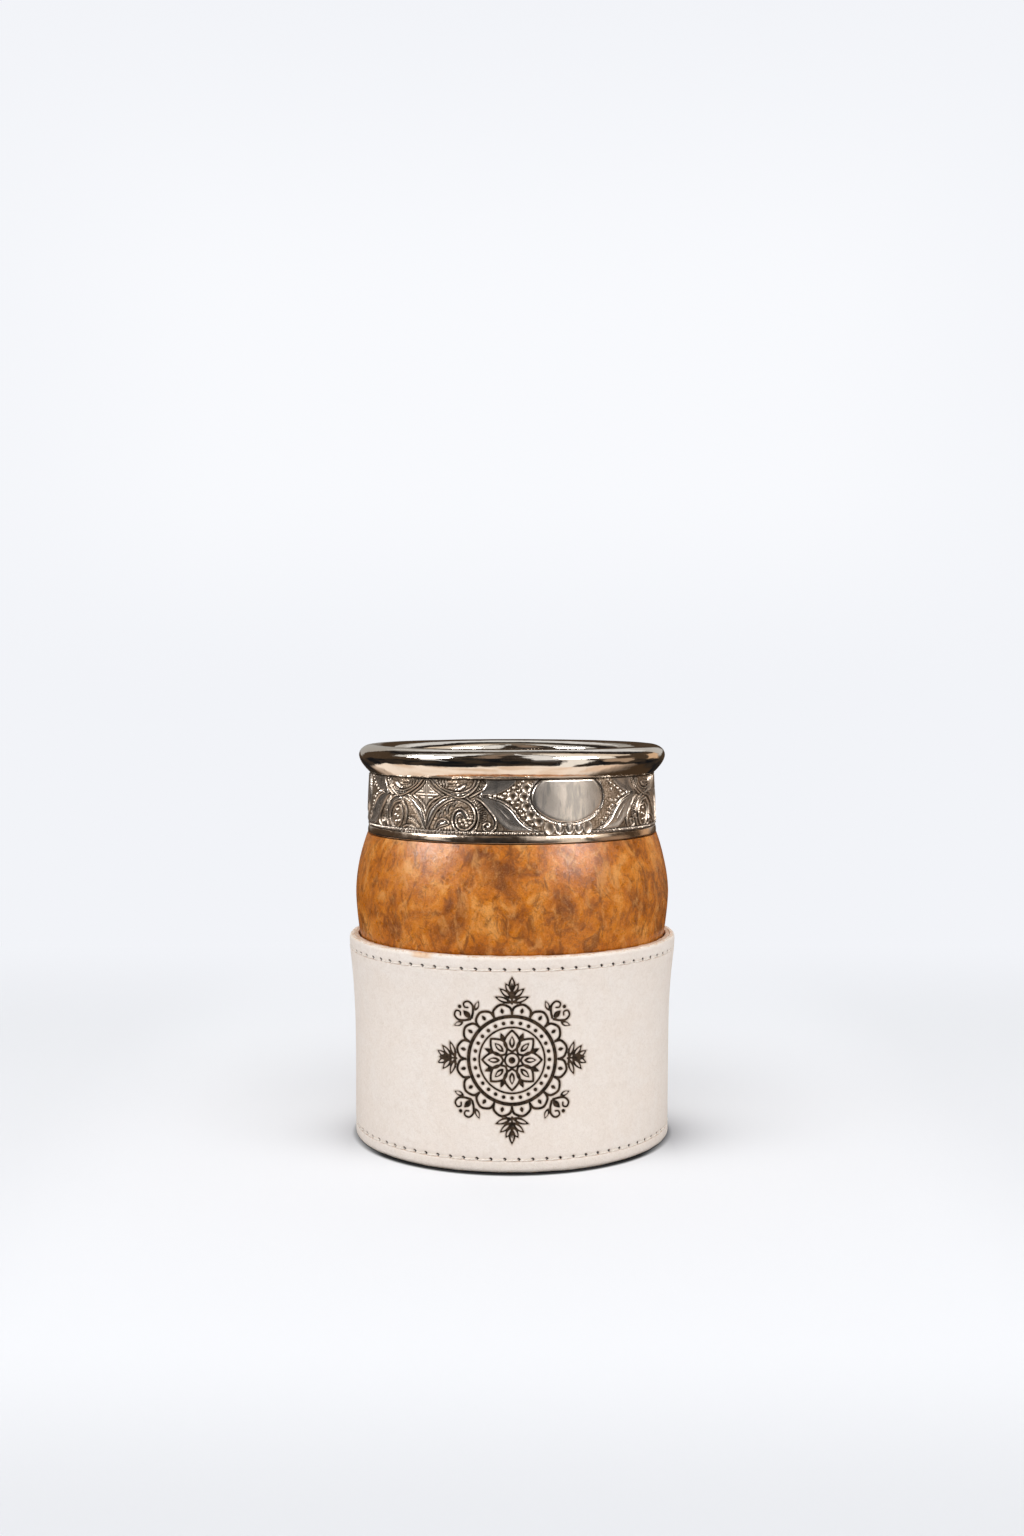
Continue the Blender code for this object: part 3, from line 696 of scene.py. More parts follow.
class Relief(Drawing):
    """Heights over spots on the band, worked with lines and hollows."""

    def __init__(self, spots, height):
        super().__init__(spots)
        self.height = height
        self.plain = np.zeros(len(height))
        self.rubbed = np.zeros(len(height))

    def blend(self, where, share, level, plain, rubbed):
        """Moves the spots' height, plainness and polish towards new values."""
        for field, value in ((self.height, level), (self.plain, plain), (self.rubbed, rubbed)):
            field[where] += (value - field[where]) * share

    def line(self, points, width=0.55, level=PROUD, plain=0.3, rubbed=0.9, taper=0, trough=True):
        """A raised line in its trough, or a cut one where the level is low."""
        points = drawn(points)
        if len(points) > 2:
            points = smooth_line(points)
        where = self.near(points, 1.3 * width)
        distance, share = to_line(self.spots[where], points)
        half = width / 2 * (1 - taper * (2 * np.abs(share - 0.5)) ** 3)
        if level > SUNK and trough:
            self.blend(where, 0.85 * ease(1.15 * (2.2 - distance / half)), DEEP, plain, 0)
        self.blend(where, ease(1.25 * (1.08 - distance / half)), level, plain, rubbed)

    def dots(self, centres, radius, level=PROUD, plain=1, rubbed=1, tall=1):
        for centre in drawn(centres):
            where = self.near(centre[None], radius * max(1, tall))
            gap = (self.spots[where] - centre) / (radius, radius * tall)
            share = np.sqrt(np.clip(1 - (gap**2).sum(axis=1), 0, 1))
            self.blend(where, share, level, plain, rubbed)

    def hollow(self, first, second, level, rim, width, rubbed):
        """A smooth dished field in a line, or between two that start and end together."""
        outline = smooth_line(first)
        if second is not None:
            outline = np.vstack([outline, smooth_line(second)[::-1]])
        where = self.near(outline, 0)
        where = where[inside(self.spots[where], outline)]
        distance = to_line(self.spots[where], closed(outline))[0]
        deep = rim + (level - rim) * ease(distance / width)
        self.blend(where, ease(distance / 0.25), deep, 1, rubbed)

    def rungs(self, points, half, gap):
        """Short bars across a line."""
        line = smooth_line(points, gap)
        for before, here, after in zip(line, line[1:], line[2:]):
            run = (after - before) / np.linalg.norm(after - before)
            side = np.array([-run[1], run[0]]) * half
            self.line([here - side, here + side], 0.26, PROUD, 0.3, 0.8)


def stippled(across, up, spacing, seed):
    """Punched ground: scattered round bumps, 0 to 1."""
    columns, rows = 257, 61
    random = np.random.default_rng(seed)
    table = random.uniform(0.12, 0.88, (columns, rows, 2))
    size = random.uniform(0.6, 1, (columns, rows))
    x, y = across / spacing, up / spacing
    column, row = np.floor(x).astype(int), np.floor(y).astype(int)
    best = np.zeros(np.shape(x))
    for dx in (-1, 0, 1):
        for dy in (-1, 0, 1):
            i, j = (column + dx) % columns, (row + dy) % rows
            gap = np.hypot(column + dx + table[i, j, 0] - x, row + dy + table[i, j, 1] - y)
            best = np.maximum(best, size[i, j] * np.clip(1 - (gap / 0.52) ** 2, 0, 1))
    return best


def chase(relief, left):
    """The ornament on one side of the panels: spirals left, loops right."""
    chase_star(relief)
    sweep = SPIRAL if left else LOOP
    relief.hollow(FOOT_EDGE, sweep[:9], FLAT, -0.2, 0.6, 0.75)
    relief.hollow(CROWN_LOW, CROWN_HIGH, FLAT, -0.2, 0.6, 0.75)
    relief.line(FOOT_EDGE)
    if left:
        chase_spiral(relief)
    else:
        chase_loop(relief)
    chase_crown(relief)
    chase_leaves(relief)
    relief.line([(7.4, EDGE_BEADS), (42, EDGE_BEADS)], 0.66, PROUD - 0.06, 0.6)
    relief.dots([(across, EDGE_BEADS) for across in np.arange(8.2, 41, 1.15)], 0.3, DEEP, 0, 0)
    chase_panel(relief, left)


def chase_star(relief):
    """Half a four-pointed star, hatched along its arms."""
    low, high = (smooth_line(edge) for edge in STAR_EDGES)
    outline = np.vstack([low, [low[-1] + (1, 0)], [high[-1] + (1, 0)], high[::-1]])
    where = relief.near(outline, 0)
    where = where[inside(relief.spots[where], outline)]
    side, up = np.abs(relief.spots[where] - (STAR_AXIS, STAR_CENTRE)).T
    hatch = 0.5 + 0.5 * np.cos(tau * np.where(side > up, up, side) / 0.82)
    relief.blend(where, 1, SUNK - 0.04 + 0.1 * hatch, 0.25, 0.05 + 0.28 * hatch)
    for edge in STAR_EDGES:
        relief.line(edge, 0.6)


def chase_crown(relief):
    """The half volute under the rim, with waved strokes and rungs."""
    for up, left_end, right_end in ((12.3, 29.6, 33.2), (13, 30, 33.4), (13.8, 30.4, 33.2)):
        stroke = [(left_end, up + 0.2), (31.5, up), (right_end, up)]
        relief.line(stroke, 0.34, -0.06, 0.5, 0.7, trough=False)
    for across in (33.9, 34.8, 35.7, 36.5):
        wave = [(across, 12.4), (across - 0.35, 13.2), (across + 0.1, 14), (across - 0.3, 14.9)]
        relief.line(wave, 0.42, PROUD, 0.4, trough=False)
    relief.line("314 119 296 122 279 134", 0.8, PROUD, 1, 1, 0.9)
    relief.rungs("270 107 252 116 239 127 232 140 230 150", 0.45, 0.66)
    relief.line(CROWN_LOW)
    relief.line(CROWN_HIGH, 0.46)
    relief.line("269 100 249 111 229 122 219 136 216 154")
    relief.rungs("262 96 244 79 235 62 232 46 237 29", 0.75, 0.62)
    relief.line(CURL[1:9] + (0.45, -0.15), 0.6, DEEP, 1, 0)
    relief.line(CURL)
    relief.dots([(21.9, 2.2)], 0.45, PROUD + 0.03)


def chase_leaves(relief):
    """The large plain leaf, and the one above it cut by the rim."""
    relief.hollow(LEAF_TOP, LEAF_LOW[::-1], -0.3, -0.06, 1.9, 0.86)
    relief.line(LEAF_TOP, 0.52, 0.08, 1, 1, 0.5)
    relief.line("195 75 177 55 160 37", 0.24, -0.12, 1, 1, 0.7, trough=False)
    relief.hollow(closed(HIGH_LEAF), None, -0.3, -0.1, 1.4, 0.6)
    relief.line(HIGH_LEAF[:6], 0.3, -0.02, 1, 0.8, 0.4, trough=False)


def chase_spiral(relief):
    """The volute on the left, with a fan leaf in its lower corner."""
    relief.line(SPIRAL_HOLLOW, 0.8, DEEP, 1, 0)
    for x0, y0, x1, y1 in (
        (36.2, 4.4, 34.7, 6.3), (34.9, 4.9, 33.5, 7.3), (33.4, 5.2, 32.4, 8.1), (31.6, 7.2, 30.4, 8.5)
    ):
        middle = ((x0 + x1) / 2 + 0.45, (y0 + y1) / 2 + 0.3)
        relief.line([(x0, y0), middle, (x1, y1)], 0.55, PROUD, 0.6, 0.9, 0.8)
    relief.dots("280 32 290 27 296 35 286 39 278 24 266 43 269 32", 0.42, PROUD, 0.3)
    for up in (4.3, 4.95, 5.6, 6.25):
        relief.line([(25.9, up), (26.9, up)], 0.34, PROUD, 0.5, trough=False)
    relief.hollow(FAN_EDGE, FAN_LOBE, -0.1, -0.05, 0.6, 0.7)
    for across in np.arange(32.4, 37.4, 0.85):
        relief.line([(across, -0.2), (across - 0.25, 1.6)], 0.4, PROUD, 0.6, 0.8, trough=False)
    relief.line("363 20 355 30 343 34", 0.42, DEEP, 1, 0, 0.7)
    relief.line(FAN_EDGE, 0.5)
    relief.line(FAN_LOBE, 0.5)
    relief.line(SPIRAL_BACK, taper=0.3)
    relief.line(SPIRAL, 0.62, PROUD + 0.03, taper=0.3)


def chase_loop(relief):
    """The volute on the right: a loop in a loop, over two small arches."""
    relief.dots("290 58 282 44 294 40 286 27 299 29", 0.42)
    relief.line("309 -4 320 13 343 19 365 11 378 -4")
    relief.line("340 39 362 33 380 17")
    for across in np.arange(32.6, 36.4, 0.85):
        relief.line([(across, -0.2), (across, 0.9)], 0.4, PROUD, 0.6, 0.8, trough=False)
    relief.line("314 84 330 66 332 44 327 24", 0.5)
    relief.line(LOOP_INNER)
    relief.line(LOOP, 0.62, PROUD + 0.03)


def chase_panel(relief, left):
    """The bare oval, the eggs under it and the field beside it."""
    relief.dots(BEADS, 0.4 if left else 0.44, PROUD + 0.04, 0.8)
    for centre in EYELETS if left else ():
        relief.dots([centre], 1.42, PROUD + 0.02)
        relief.dots([centre], 1.06, DEEP - 0.04, 0, 0)
    for across in (0, 2.8, 5.6):
        relief.dots([(across, 1.75)], 1.42, PROUD + 0.02, 1, 1, 1.25)
        relief.dots([(across, 1.85)], 1.16, DEEP, 0.1, 0, 1.35)
        if across < 5:
            relief.dots([(across, 2)], 0.84, PROUD + 0.06, 1, 1, 1.5)
    x, y = relief.spots[:, 0], relief.spots[:, 1] - PANEL_CENTRE
    scale = np.hypot(x / PANEL_WIDE, y / PANEL_TALL)
    slope = np.hypot(x / PANEL_WIDE**2, y / PANEL_TALL**2) / np.maximum(scale, 0.2)
    edge = (scale - 1) / np.maximum(slope, 0.02)
    everywhere = np.flatnonzero((edge < 2) & relief.open)
    edge = edge[everywhere]
    relief.blend(everywhere, ease(1.3 - np.abs(edge - 0.62) / 0.3), PROUD, 1, 1)
    relief.blend(everywhere, ease(1.3 - np.abs(edge - 0.25) / 0.22), SUNK - 0.08, 1, 0)
    relief.blend(everywhere, ease(0.5 - edge / 0.4), 0.3 - 0.1 * ease(1 + edge / 0.9), 1, 0.9)


def unrolled(angle, up):
    """Places measured from the nearest panel, and on which side of it."""
    turn = (angle - PANEL_ANGLE + pi) % tau - pi
    turn = turn - PANEL_PITCH * np.clip(np.round(turn / PANEL_PITCH), -1, 1)
    across, left = np.abs(turn) * BAND_TOP_RADIUS, turn < 0
    beyond = across > STAR_AXIS
    across = np.where(beyond, 2 * STAR_AXIS - across, across)
    across, up, left = np.broadcast_arrays(across, up, left ^ beyond)
    return np.stack([across.ravel(), up.ravel()], axis=-1), left.ravel()


def blurred(values):
    """Values evened out with their neighbours."""
    for _ in range(4):
        values = (np.roll(values, 1, 0) + values + np.roll(values, -1, 0)) / 3
        padded = np.pad(values, ((0, 0), (1, 1)), mode="edge")
        values = (padded[:, :-2] + values + padded[:, 2:]) / 3
    return values


def make_band():
    """The band's sheet, worked in relief, with oxide in its hollows and painted shade along its top
    under the rim.
    """
    half = FRONT_SECTOR / 2
    angle = np.linspace(-half, half, FRONT_COLUMNS, endpoint=False)
    angle = np.append(angle, np.linspace(half, tau - half, REAR_COLUMNS, endpoint=False))[:, None]
    tall = BAND_HIGH - BAND_LOW
    up = np.broadcast_to(np.linspace(0, tall, BAND_ROWS)[None, :], (len(angle), BAND_ROWS))
    spots, left = unrolled(angle, up)
    bumps = stippled(angle * BAND_TOP_RADIUS, up, 0.55, 7)
    relief = Relief(spots, (GROUND + 0.09 * bumps).ravel())
    relief.rubbed[:] = ease(bumps.ravel() * 1.2) * 0.5
    for side in (True, False):
        relief.open = left == side
        chase(relief, side)
    high = relief.height.reshape(up.shape)
    sunk = blurred(high) - high
    oxide = ease((sunk - 0.015) / 0.13) * 0.78 + 0.3 * ease((-0.3 - high) / 0.15)
    hand = ripple(angle, up, [(3, 40), (7, 30), (11, 20), (17, 15)], 41)
    # Painted shade along the band's top under the rim's overhang: it is laid into the oxide mark below,
    # and the plainness and polish there are taken away.
    painted_shade_under_rim = ease(1.2 - (tall - up) / 0.4)
    high = high * (1 + 0.1 * hand) + 0.02 * hand
    face = BAND_FOOT_RADIUS + (BAND_TOP_RADIUS - BAND_FOOT_RADIUS) * up / tall
    radius = face + np.minimum(high, -0.02 + 0.9 * np.minimum(up, tall - up))
    blank = ((0, 0), (0, 4))
    back = np.broadcast_to(np.linspace(BAND_HIGH, BAND_LOW, 4), (len(angle), 4))
    radius = np.pad(radius, blank, constant_values=NECK_INNER)
    # The oxide mark holds both the oxide in the hollows and the painted shade under the rim.
    marks = {
        "oxide": np.clip(np.maximum(oxide, 0.85 * painted_shade_under_rim), 0, 1),
        "plain": relief.plain.reshape(up.shape) * (1 - painted_shade_under_rim),
        "rubbed": relief.rubbed.reshape(up.shape) * (1 - painted_shade_under_rim),
    }
    marks = {name: np.pad(values, blank) for name, values in marks.items()}
    shape = lathe(placed(angle, radius, np.hstack([up + BAND_LOW, back])))
    finished(
        "ornament_band", shape, chased_look(), "gourd", "chased_band", marks
    )


# Leather sleeve


def wall_radius(height):
    """Outer radius of the sleeve: straight below, flared at its mouth."""
    climb = np.clip(height / TOP_SEAM, 0, 1)
    return MOUTH_RADIUS - FLARE * (1 - climb**FLARE_CURVE)


# Burnt ornament on the sleeve's front, a rosette in rings with four palms
MEDAL_LEVEL = 29.9
MEDAL_REACH = 23
FAR = 2.0


def turned(points, turn, flip=1):
    """Points turned round the centre, and mirrored if flip is -1."""
    turning = np.array([[cos(turn), -sin(turn)], [sin(turn), cos(turn)]])
    return drawn(points) * (flip, 1) @ turning


def petal(turn, start, end, width, count=9):
    """Outline of a pointed leaf that grows outwards from the centre."""
    share = np.linspace(0, 1, count)
    wide = width * np.sin(pi * share**0.85) ** 0.9
    half = np.stack([wide, start + (end - start) * share], axis=1)
    return turned(np.vstack([half, half[-2:0:-1] * (-1, 1)]), turn)


class Burn(Drawing):
    """Signed distance from spots on the leather to the burnt lines."""

    def __init__(self, spots):
        super().__init__(spots)
        self.distance = np.full(len(spots), FAR)

    def keep(self, where, distance):
        self.distance[where] = np.minimum(self.distance[where], distance)

    def line(self, points, width, taper=0):
        line = smooth_line(points)
        where = self.near(line)
        distance, share = to_line(self.spots[where], line)
        self.keep(where, distance - width / 2 * (1 - taper * share))

    def ring(self, radius, width):
        self.keep(slice(None), np.abs(np.hypot(*self.spots.T) - radius) - width / 2)

    def edge(self, outline):
        """Spots near a closed outline, and how far outside it they are."""
        where = self.near(outline)
        spots = self.spots[where]
        return where, to_line(spots, closed(outline))[0] * np.where(inside(spots, outline), -1, 1)

    def blot(self, outline):
        self.keep(*self.edge(outline))

    def outline(self, outline, width):
        where, edge = self.edge(outline)
        self.keep(where, np.abs(edge) - width / 2)

    def leaf(self, foot, lean, long, wide, turn, flip=1):
        """A leaf on its foot, with a pale slit along its middle."""
        where, edge = self.edge(turned(petal(lean, 0, long, wide) + foot, turn, flip))
        slit = turned([(0, 0.3 * long), (0, 0.78 * long)], lean) + foot
        along, share = to_line(self.spots[where], smooth_line(turned(slit, turn, flip)))
        self.keep(where, np.maximum(edge, 0.3 * np.sin(pi * (0.1 + 0.8 * share)) - along))

    def dot(self, centre, radius):
        where = self.near(np.array([centre]), radius + 1.5)
        self.keep(where, np.hypot(*(self.spots[where] - centre).T) - radius)


def burnt_rosette(burn):
    """Eight petals round a button, in a ring of dots."""
    burn.dot((0, 0), 0.9)
    burn.ring(1.85, 0.55)
    for i in range(8):
        turn = tau * i / 8
        burn.outline(petal(turn, 2.3, 7.9, 2.05, 15), 0.62)
        burn.leaf((0, 3.1), 0, 3.4, 0.8, turn)
        burn.blot(petal(turn + tau / 16, 4.9, 7.9, 0.66))
    burn.ring(8.7, 0.55)
    for i in range(28):
        turn = tau * i / 28
        burn.dot((9.95 * sin(turn), 9.95 * cos(turn)), 0.52)
    burn.ring(11.6, 1)


def burnt_border(burn):
    """Sixteen scallops round the rings, each with a small leaf."""
    half = 12.5 * tan(tau / 32)
    arch = [(-half, 12.2), (-half * 0.85, 13.9), (0, 15), (half * 0.85, 13.9), (half, 12.2)]
    for i in range(16):
        turn = tau * (i + 0.5) / 16
        burn.line(turned(arch, turn), 0.7)
        burn.blot(petal(turn, 12.5, 14.1, 0.5))


def burnt_palm(burn, turn, top):
    """A palm that grows out of the border, its leaves in pairs."""
    burn.line(turned([(0, 15), (0, top - 2)], turn), 0.6, 0.4)
    burn.leaf((0, top - 4.2), 0, 4.2, 0.95, turn)
    for start, lean, long in ((15.2, 1.22, 4.9), (16.3, 0.86, 4.4), (17.4, 0.5, 3.6)):
        for flip in (-1, 1):
            burn.leaf((0, start), lean, long, 0.85, turn, flip)


def burnt_corner(burn, turn):
    """A pair of scrolls with a bud between two palms."""
    for flip in (-1, 1):
        scroll = turned("3 153 17 162 28 175 27 190 15 195 9 186 15 179", turn, flip)
        burn.line(scroll, 0.7, 0.3)
        burn.leaf((2.2, 16), 1.15, 3, 0.7, turn, flip)
    burn.blot(petal(turn, 15.5, 18.3, 0.8))
    burn.dot(turned([(0, 19.6)], turn)[0], 0.52)


def burnt_medal(across, up):
    """Signed distance to the ornament's lines on the sleeve's front."""
    distance = np.full(across.shape, FAR)
    near = (np.abs(across) < MEDAL_REACH) & (np.abs(up) < MEDAL_REACH + 1)
    burn = Burn(np.stack([across[near], up[near]], axis=1))
    burnt_rosette(burn)
    burnt_border(burn)
    for i, top in enumerate((22.3, 20.2, 22.3, 20.2)):
        burnt_palm(burn, tau * i / 4, top)
        burnt_corner(burn, tau * (i + 0.5) / 4)
    distance[near] = burn.distance
    return distance


def stitch_gap(angle, height, *seams):
    """Distance to the nearest stitch hole and seam; no hole is at the very back."""
    turn = (angle - pi) / PITCH - 0.5
    along = (turn - np.round(turn)) * PITCH * wall_radius(height)
    up = np.min([np.abs(height - seam) for seam in seams], axis=0)
    raised = np.min([np.abs(height - seam - HOLE_RISE) for seam in seams], axis=0)
    return np.hypot(along, raised), up


# Columns and rows of the wall: fine on the burnt front and along the seams
FRONT_HALF = radians(29.5)
FRONT_LOW, FRONT_HIGH = 8.6, 51.2
FRONT_STEP = 0.25
REST_STEP = 0.47
SEAM_GAP = 0.15
LACE_CROSSINGS = 9
LACE_OFFSET = 2.8
LACE_LOW, LACE_HIGH = 12.4, 49.3
NICK_ANGLE = radians(-31)


def lace_holes():
    """Side and height of the holes beside the back seam."""
    heights = np.linspace(LACE_LOW, LACE_HIGH, 2 * LACE_CROSSINGS)
    return [(-1 if i % 2 == 0 else 1, float(height)) for i, height in enumerate(heights)]


def wall_columns():
    """Angles of the wall's columns, and which of them are fine."""
    end = pi - SEAM_GAP / wall_radius(0)
    front = np.linspace(-FRONT_HALF, FRONT_HALF, round(2 * FRONT_HALF * MOUTH_RADIUS / FRONT_STEP))
    rest = np.linspace(FRONT_HALF, end, round((end - FRONT_HALF) * MOUTH_RADIUS / REST_STEP))[1:]
    angles = np.concatenate([-rest[::-1], front, rest])
    beside_seam = (pi - np.abs(angles)) * MOUTH_RADIUS < LACE_OFFSET + 1.2
    return angles, (np.abs(angles) <= FRONT_HALF + 1e-9) | beside_seam


def between(left, right):
    """Faces between two closed columns of (rows, corners)."""
    at_left = {row: i for i, row in enumerate(left[0])}
    at_right = {row: i for i, row in enumerate(right[0])}
    shared = sorted(set(at_left) & set(at_right))
    faces = []
    for row, after in zip(shared, shared[1:]):
        up = right[1][at_right[row] : at_right[after] + 1]
        faces.append(up + left[1][at_left[row] : at_left[after] + 1][::-1])
    faces.append([right[1][-1], right[1][0], left[1][0], left[1][-1]])
    return faces


def make_wall(look):
    """The outer leather: ornament, stitch holes, worn cut edges and back seam."""
    low, high = WALL_LOW, WALL_HIGH
    foot = np.linspace(low, FRONT_LOW, 26)
    middle = np.arange(FRONT_LOW, FRONT_HIGH, FRONT_STEP)[1:]
    head = np.linspace(FRONT_HIGH + 0.2, high - 0.75, 16)
    outer = np.concatenate([foot, middle, head, [high - 0.32, high - 0.08, high, high]])
    inner = [high - 2, high - 5, 44, 34, 22, 12, 5, low]
    rows = np.concatenate([outer, inner])
    is_inner = np.arange(len(rows)) >= len(outer) - 1
    inset = np.where(is_inner, WALL, 0)
    inset[:2] = 0.42, 0.12
    inset[len(outer) - 4 : len(outer) - 1] = 0.14, 0.38, 0.72
    is_middle = (rows > FRONT_LOW + 0.1) & (rows < FRONT_HIGH + 0.1) & ~is_inner
    skipped = is_middle & (np.arange(len(rows)) % 8 != 0)
    angles, fine = wall_columns()

    angle, height = np.broadcast_arrays(angles[:, None], rows[None, :])
    gap, up = stitch_gap(angle, height, TOP_SEAM, BOTTOM_SEAM)
    burn = burnt_medal(angle * wall_radius(MEDAL_LEVEL), height - MEDAL_LEVEL)
    lace = np.full(angle.shape, 9.0)
    from_seam = (pi - np.abs(angle)) * np.sign(angle) * MOUTH_RADIUS
    for side, level in lace_holes():
        lace = np.minimum(lace, np.hypot(from_seam - side * LACE_OFFSET, height - level))

    face = ~is_inner
    pressed = 0.2 * ease(1 - up / 0.8) + 0.05 * ease(1 - up / 2.2)
    pressed = pressed + 0.6 * ease(1 - gap / 0.6) + 0.7 * ease(1 - lace / 0.6)
    pressed = pressed + 0.26 * ease(0.5 - burn / 0.5) - 0.09 * ease(1 - np.abs(burn - 0.4) / 0.4)
    heave = ripple(angle, height, [(2, 120), (3, 80), (5, 60), (8, -45), (13, 30)], 51)
    nick = np.exp(-(((angle - NICK_ANGLE) / 0.075) ** 2))
    jag = 0.34 * np.clip(np.sin(angle * 50 + 1.3), 0.6, 1) + 0.16 * np.sin(angle * 151) - 0.3
    fray = 0.1 * ripple_round(angle, height, (19, 31, 57, 83), 61)
    worn = 0.16 * ripple_round(angle, height, (3, 5, 8), 62) + fray - 0.12 + nick * jag
    sunk = 0.06 * ripple_round(angle, height, (4, 7, 29), 63) - 0.3
    lift = ease((height - (high - 1.6)) / 1.6) * worn + ease((low + 1.5 - height) / 1.5) * sunk
    points = placed(angle, wall_radius(height) - inset + 0.1 * heave - face * pressed, height + lift)

    kept = ~(skipped[None, :] & ~fine[:, None])
    number = np.cumsum(kept.ravel()).reshape(kept.shape) - 1
    used = [np.flatnonzero(row) for row in kept]
    columns = [(row.tolist(), number[j, row].tolist()) for j, row in enumerate(used)]
    faces = []
    for left, right in zip(columns, columns[1:]):
        faces += between(left, right)
    faces += [columns[0][1], columns[-1][1][::-1]]
    marks = {
        "burn": burn,
        "hole": np.where(face, lace * 0.8, 9),
        "raw": ease((inset - 0.05) / 0.3) * np.ones(angle.shape),
        "torn": ease(1.6 * nick - 0.3) * ease((height - (high - 1.5)) / 0.5),
    }
    marks = {name: values[kept] for name, values in marks.items()}
    finished("leather_wall", (points[kept], faces), look, "sleeve", "sleeve_wall", marks)


def make_lining(look):
    """The inner leather, its ends short of the lacing."""
    heights = np.concatenate([np.linspace(LINING_LOW, 48, 20), np.linspace(48.5, LINING_HIGH, 24)])
    outer = wall_radius(heights) - WALL - PLY_GAP
    pressed = 0.27 * ease((heights - LINING_HIGH + 3) / 2)
    radius = np.concatenate([outer + pressed, outer[::-1] - LINING])
    height = np.concatenate([heights, heights[::-1]])
    inner = len(heights)
    radius[inner - 1 : inner + 1] += -0.15, 0.15
    end = pi - LINING_SHORT / MOUTH_RADIUS
    angle = np.linspace(-end, end, 520)[:, None]
    fray = ripple_round(angle, height, (9, 23, 41, 67), 71)
    lift = ease((height - LINING_HIGH + 1.2) / 1.2) * (0.1 * fray - 0.1)
    gap, up = stitch_gap(angle, height, TOP_SEAM)
    pressed = 0.35 * ease(1 - gap / 0.62) + 0.08 * ease(1 - up / 0.9)
    push = (np.arange(len(radius)) >= inner) * pressed
    corners, faces = lathe(placed(angle, radius + push, height + lift))
    places, columns = len(radius), len(angle)
    ring = list(range(places))
    last = [corner + (columns - 1) * places for corner in ring]
    shape = corners, faces[: places * (columns - 1)] + [ring, last[::-1]]
    finished("lining", shape, look, "sleeve", "sleeve_lining")


def make_pan(look):
    """The moulded bottom with its turned-up edge, rounded at the bend."""
    outer, inner, floor = PAN_RADIUS, PAN_RADIUS - PAN, PAN_LOW + PAN
    bend = arc(outer - 1, PAN_LOW + 1, 1, 1, -1, 0, 5)
    bend += arc(outer - PAN / 2, PAN_HIGH - 0.3, PAN / 2, 0.3, 0, 2, 6)
    bend += [(inner, floor + 0.6), (inner - 0.6, floor)]
    outline = [(1, PAN_LOW), (20, PAN_LOW)] + bend + [(20, floor), (1, floor)]
    radius, height = section(outline, 2)
    angle = turns(300)
    gap, _ = stitch_gap(angle, height, BOTTOM_SEAM)
    push = (np.abs(radius - inner) < 0.05) * 0.3 * ease(1 - gap / 0.62)
    shape = lathe(placed(angle, radius + push, height), (PAN_LOW, floor))
    finished("pan", shape, look, "sleeve", "base_pan")


def make_sole(look):
    """The thin black disc under the pan, its edge a little rounded; its black edge also stands in for
    the dark line of shade under the wall's foot.
    """
    middle, half = (SOLE_LOW + SOLE_HIGH) / 2, (SOLE_HIGH - SOLE_LOW) / 2
    edge = arc(SOLE_RADIUS - 0.2, middle, 0.2, half, -1, 1, 6)
    radius, height = section([(2, SOLE_LOW)] + edge + [(2, SOLE_HIGH)], 6)
    angle = turns(300)
    sway = 0.1 * ripple_round(angle, height, (3, 8, 21), 81) - 0.1
    rim = np.where(radius > SOLE_RADIUS - 1, sway, 0)
    shape = lathe(placed(angle, radius + rim, height), (SOLE_LOW, SOLE_HIGH))
    finished("sole", shape, look, "sleeve", "outsole")


# Threads


def unit(vectors):
    return vectors / np.maximum(np.linalg.norm(vectors, axis=1)[:, None], 1e-6)


def strand(path, radius, lay, sides=8, flat=1):
    """Shape and ply marks of two plies twisted along a path."""
    path = np.vstack(path)
    ahead = unit(np.gradient(path, axis=0))
    side = unit(np.cross(ahead, unit(path * (1, 1, 0))))
    over = np.cross(side, ahead)
    run = np.concatenate([[0], np.cumsum(np.linalg.norm(np.diff(path, axis=0), axis=1))])
    around = np.arange(sides) / sides * tau
    lobes = np.cos(2 * (around - run[:, None] / lay * tau / 2))
    size = radius * (0.86 + 0.14 * lobes)[..., None]
    around = around[None, :, None]
    spread = np.cos(around) * side[:, None] + flat * np.sin(around) * over[:, None]
    points = path[:, None] + size * spread
    here = np.arange(len(path) * sides).reshape(len(path), sides)
    beside = np.roll(here, -1, axis=1)
    quads = np.stack([here[:-1], beside[:-1], beside[1:], here[1:]], axis=-1)
    quads = quads.reshape(-1, 4).tolist() + [here[0].tolist()[::-1], here[-1].tolist()]
    return (points.reshape(-1, 3), quads), (lobes > -0.4).astype(float)


def make_stitching(name, seam, inner_face, look, node):
    """One thread sewn twice round, so that both faces are filled."""
    surface = wall_radius(seam)
    share = np.linspace(0, 1, 9)
    drop = 0.9 * (2 * np.abs(share - 0.5)) ** 7
    path = []
    for turn in range(2):
        for i in range(STITCHES):
            angle = pi + PITCH * (i + 0.5 + share)
            outside = (i + turn) % 2 == 0
            tilt = 0.1 if outside else -0.1
            radius = surface - 0.16 - drop if outside else inner_face - 0.12 + drop * 0.8
            path.append(placed(angle, radius, seam - 0.12 - tilt + 2 * tilt * share))
    shape, plies = strand(path, THREAD / 2, 1.1)
    finished(name, shape, look, "sleeve", node, {"ply": plies}, 80)


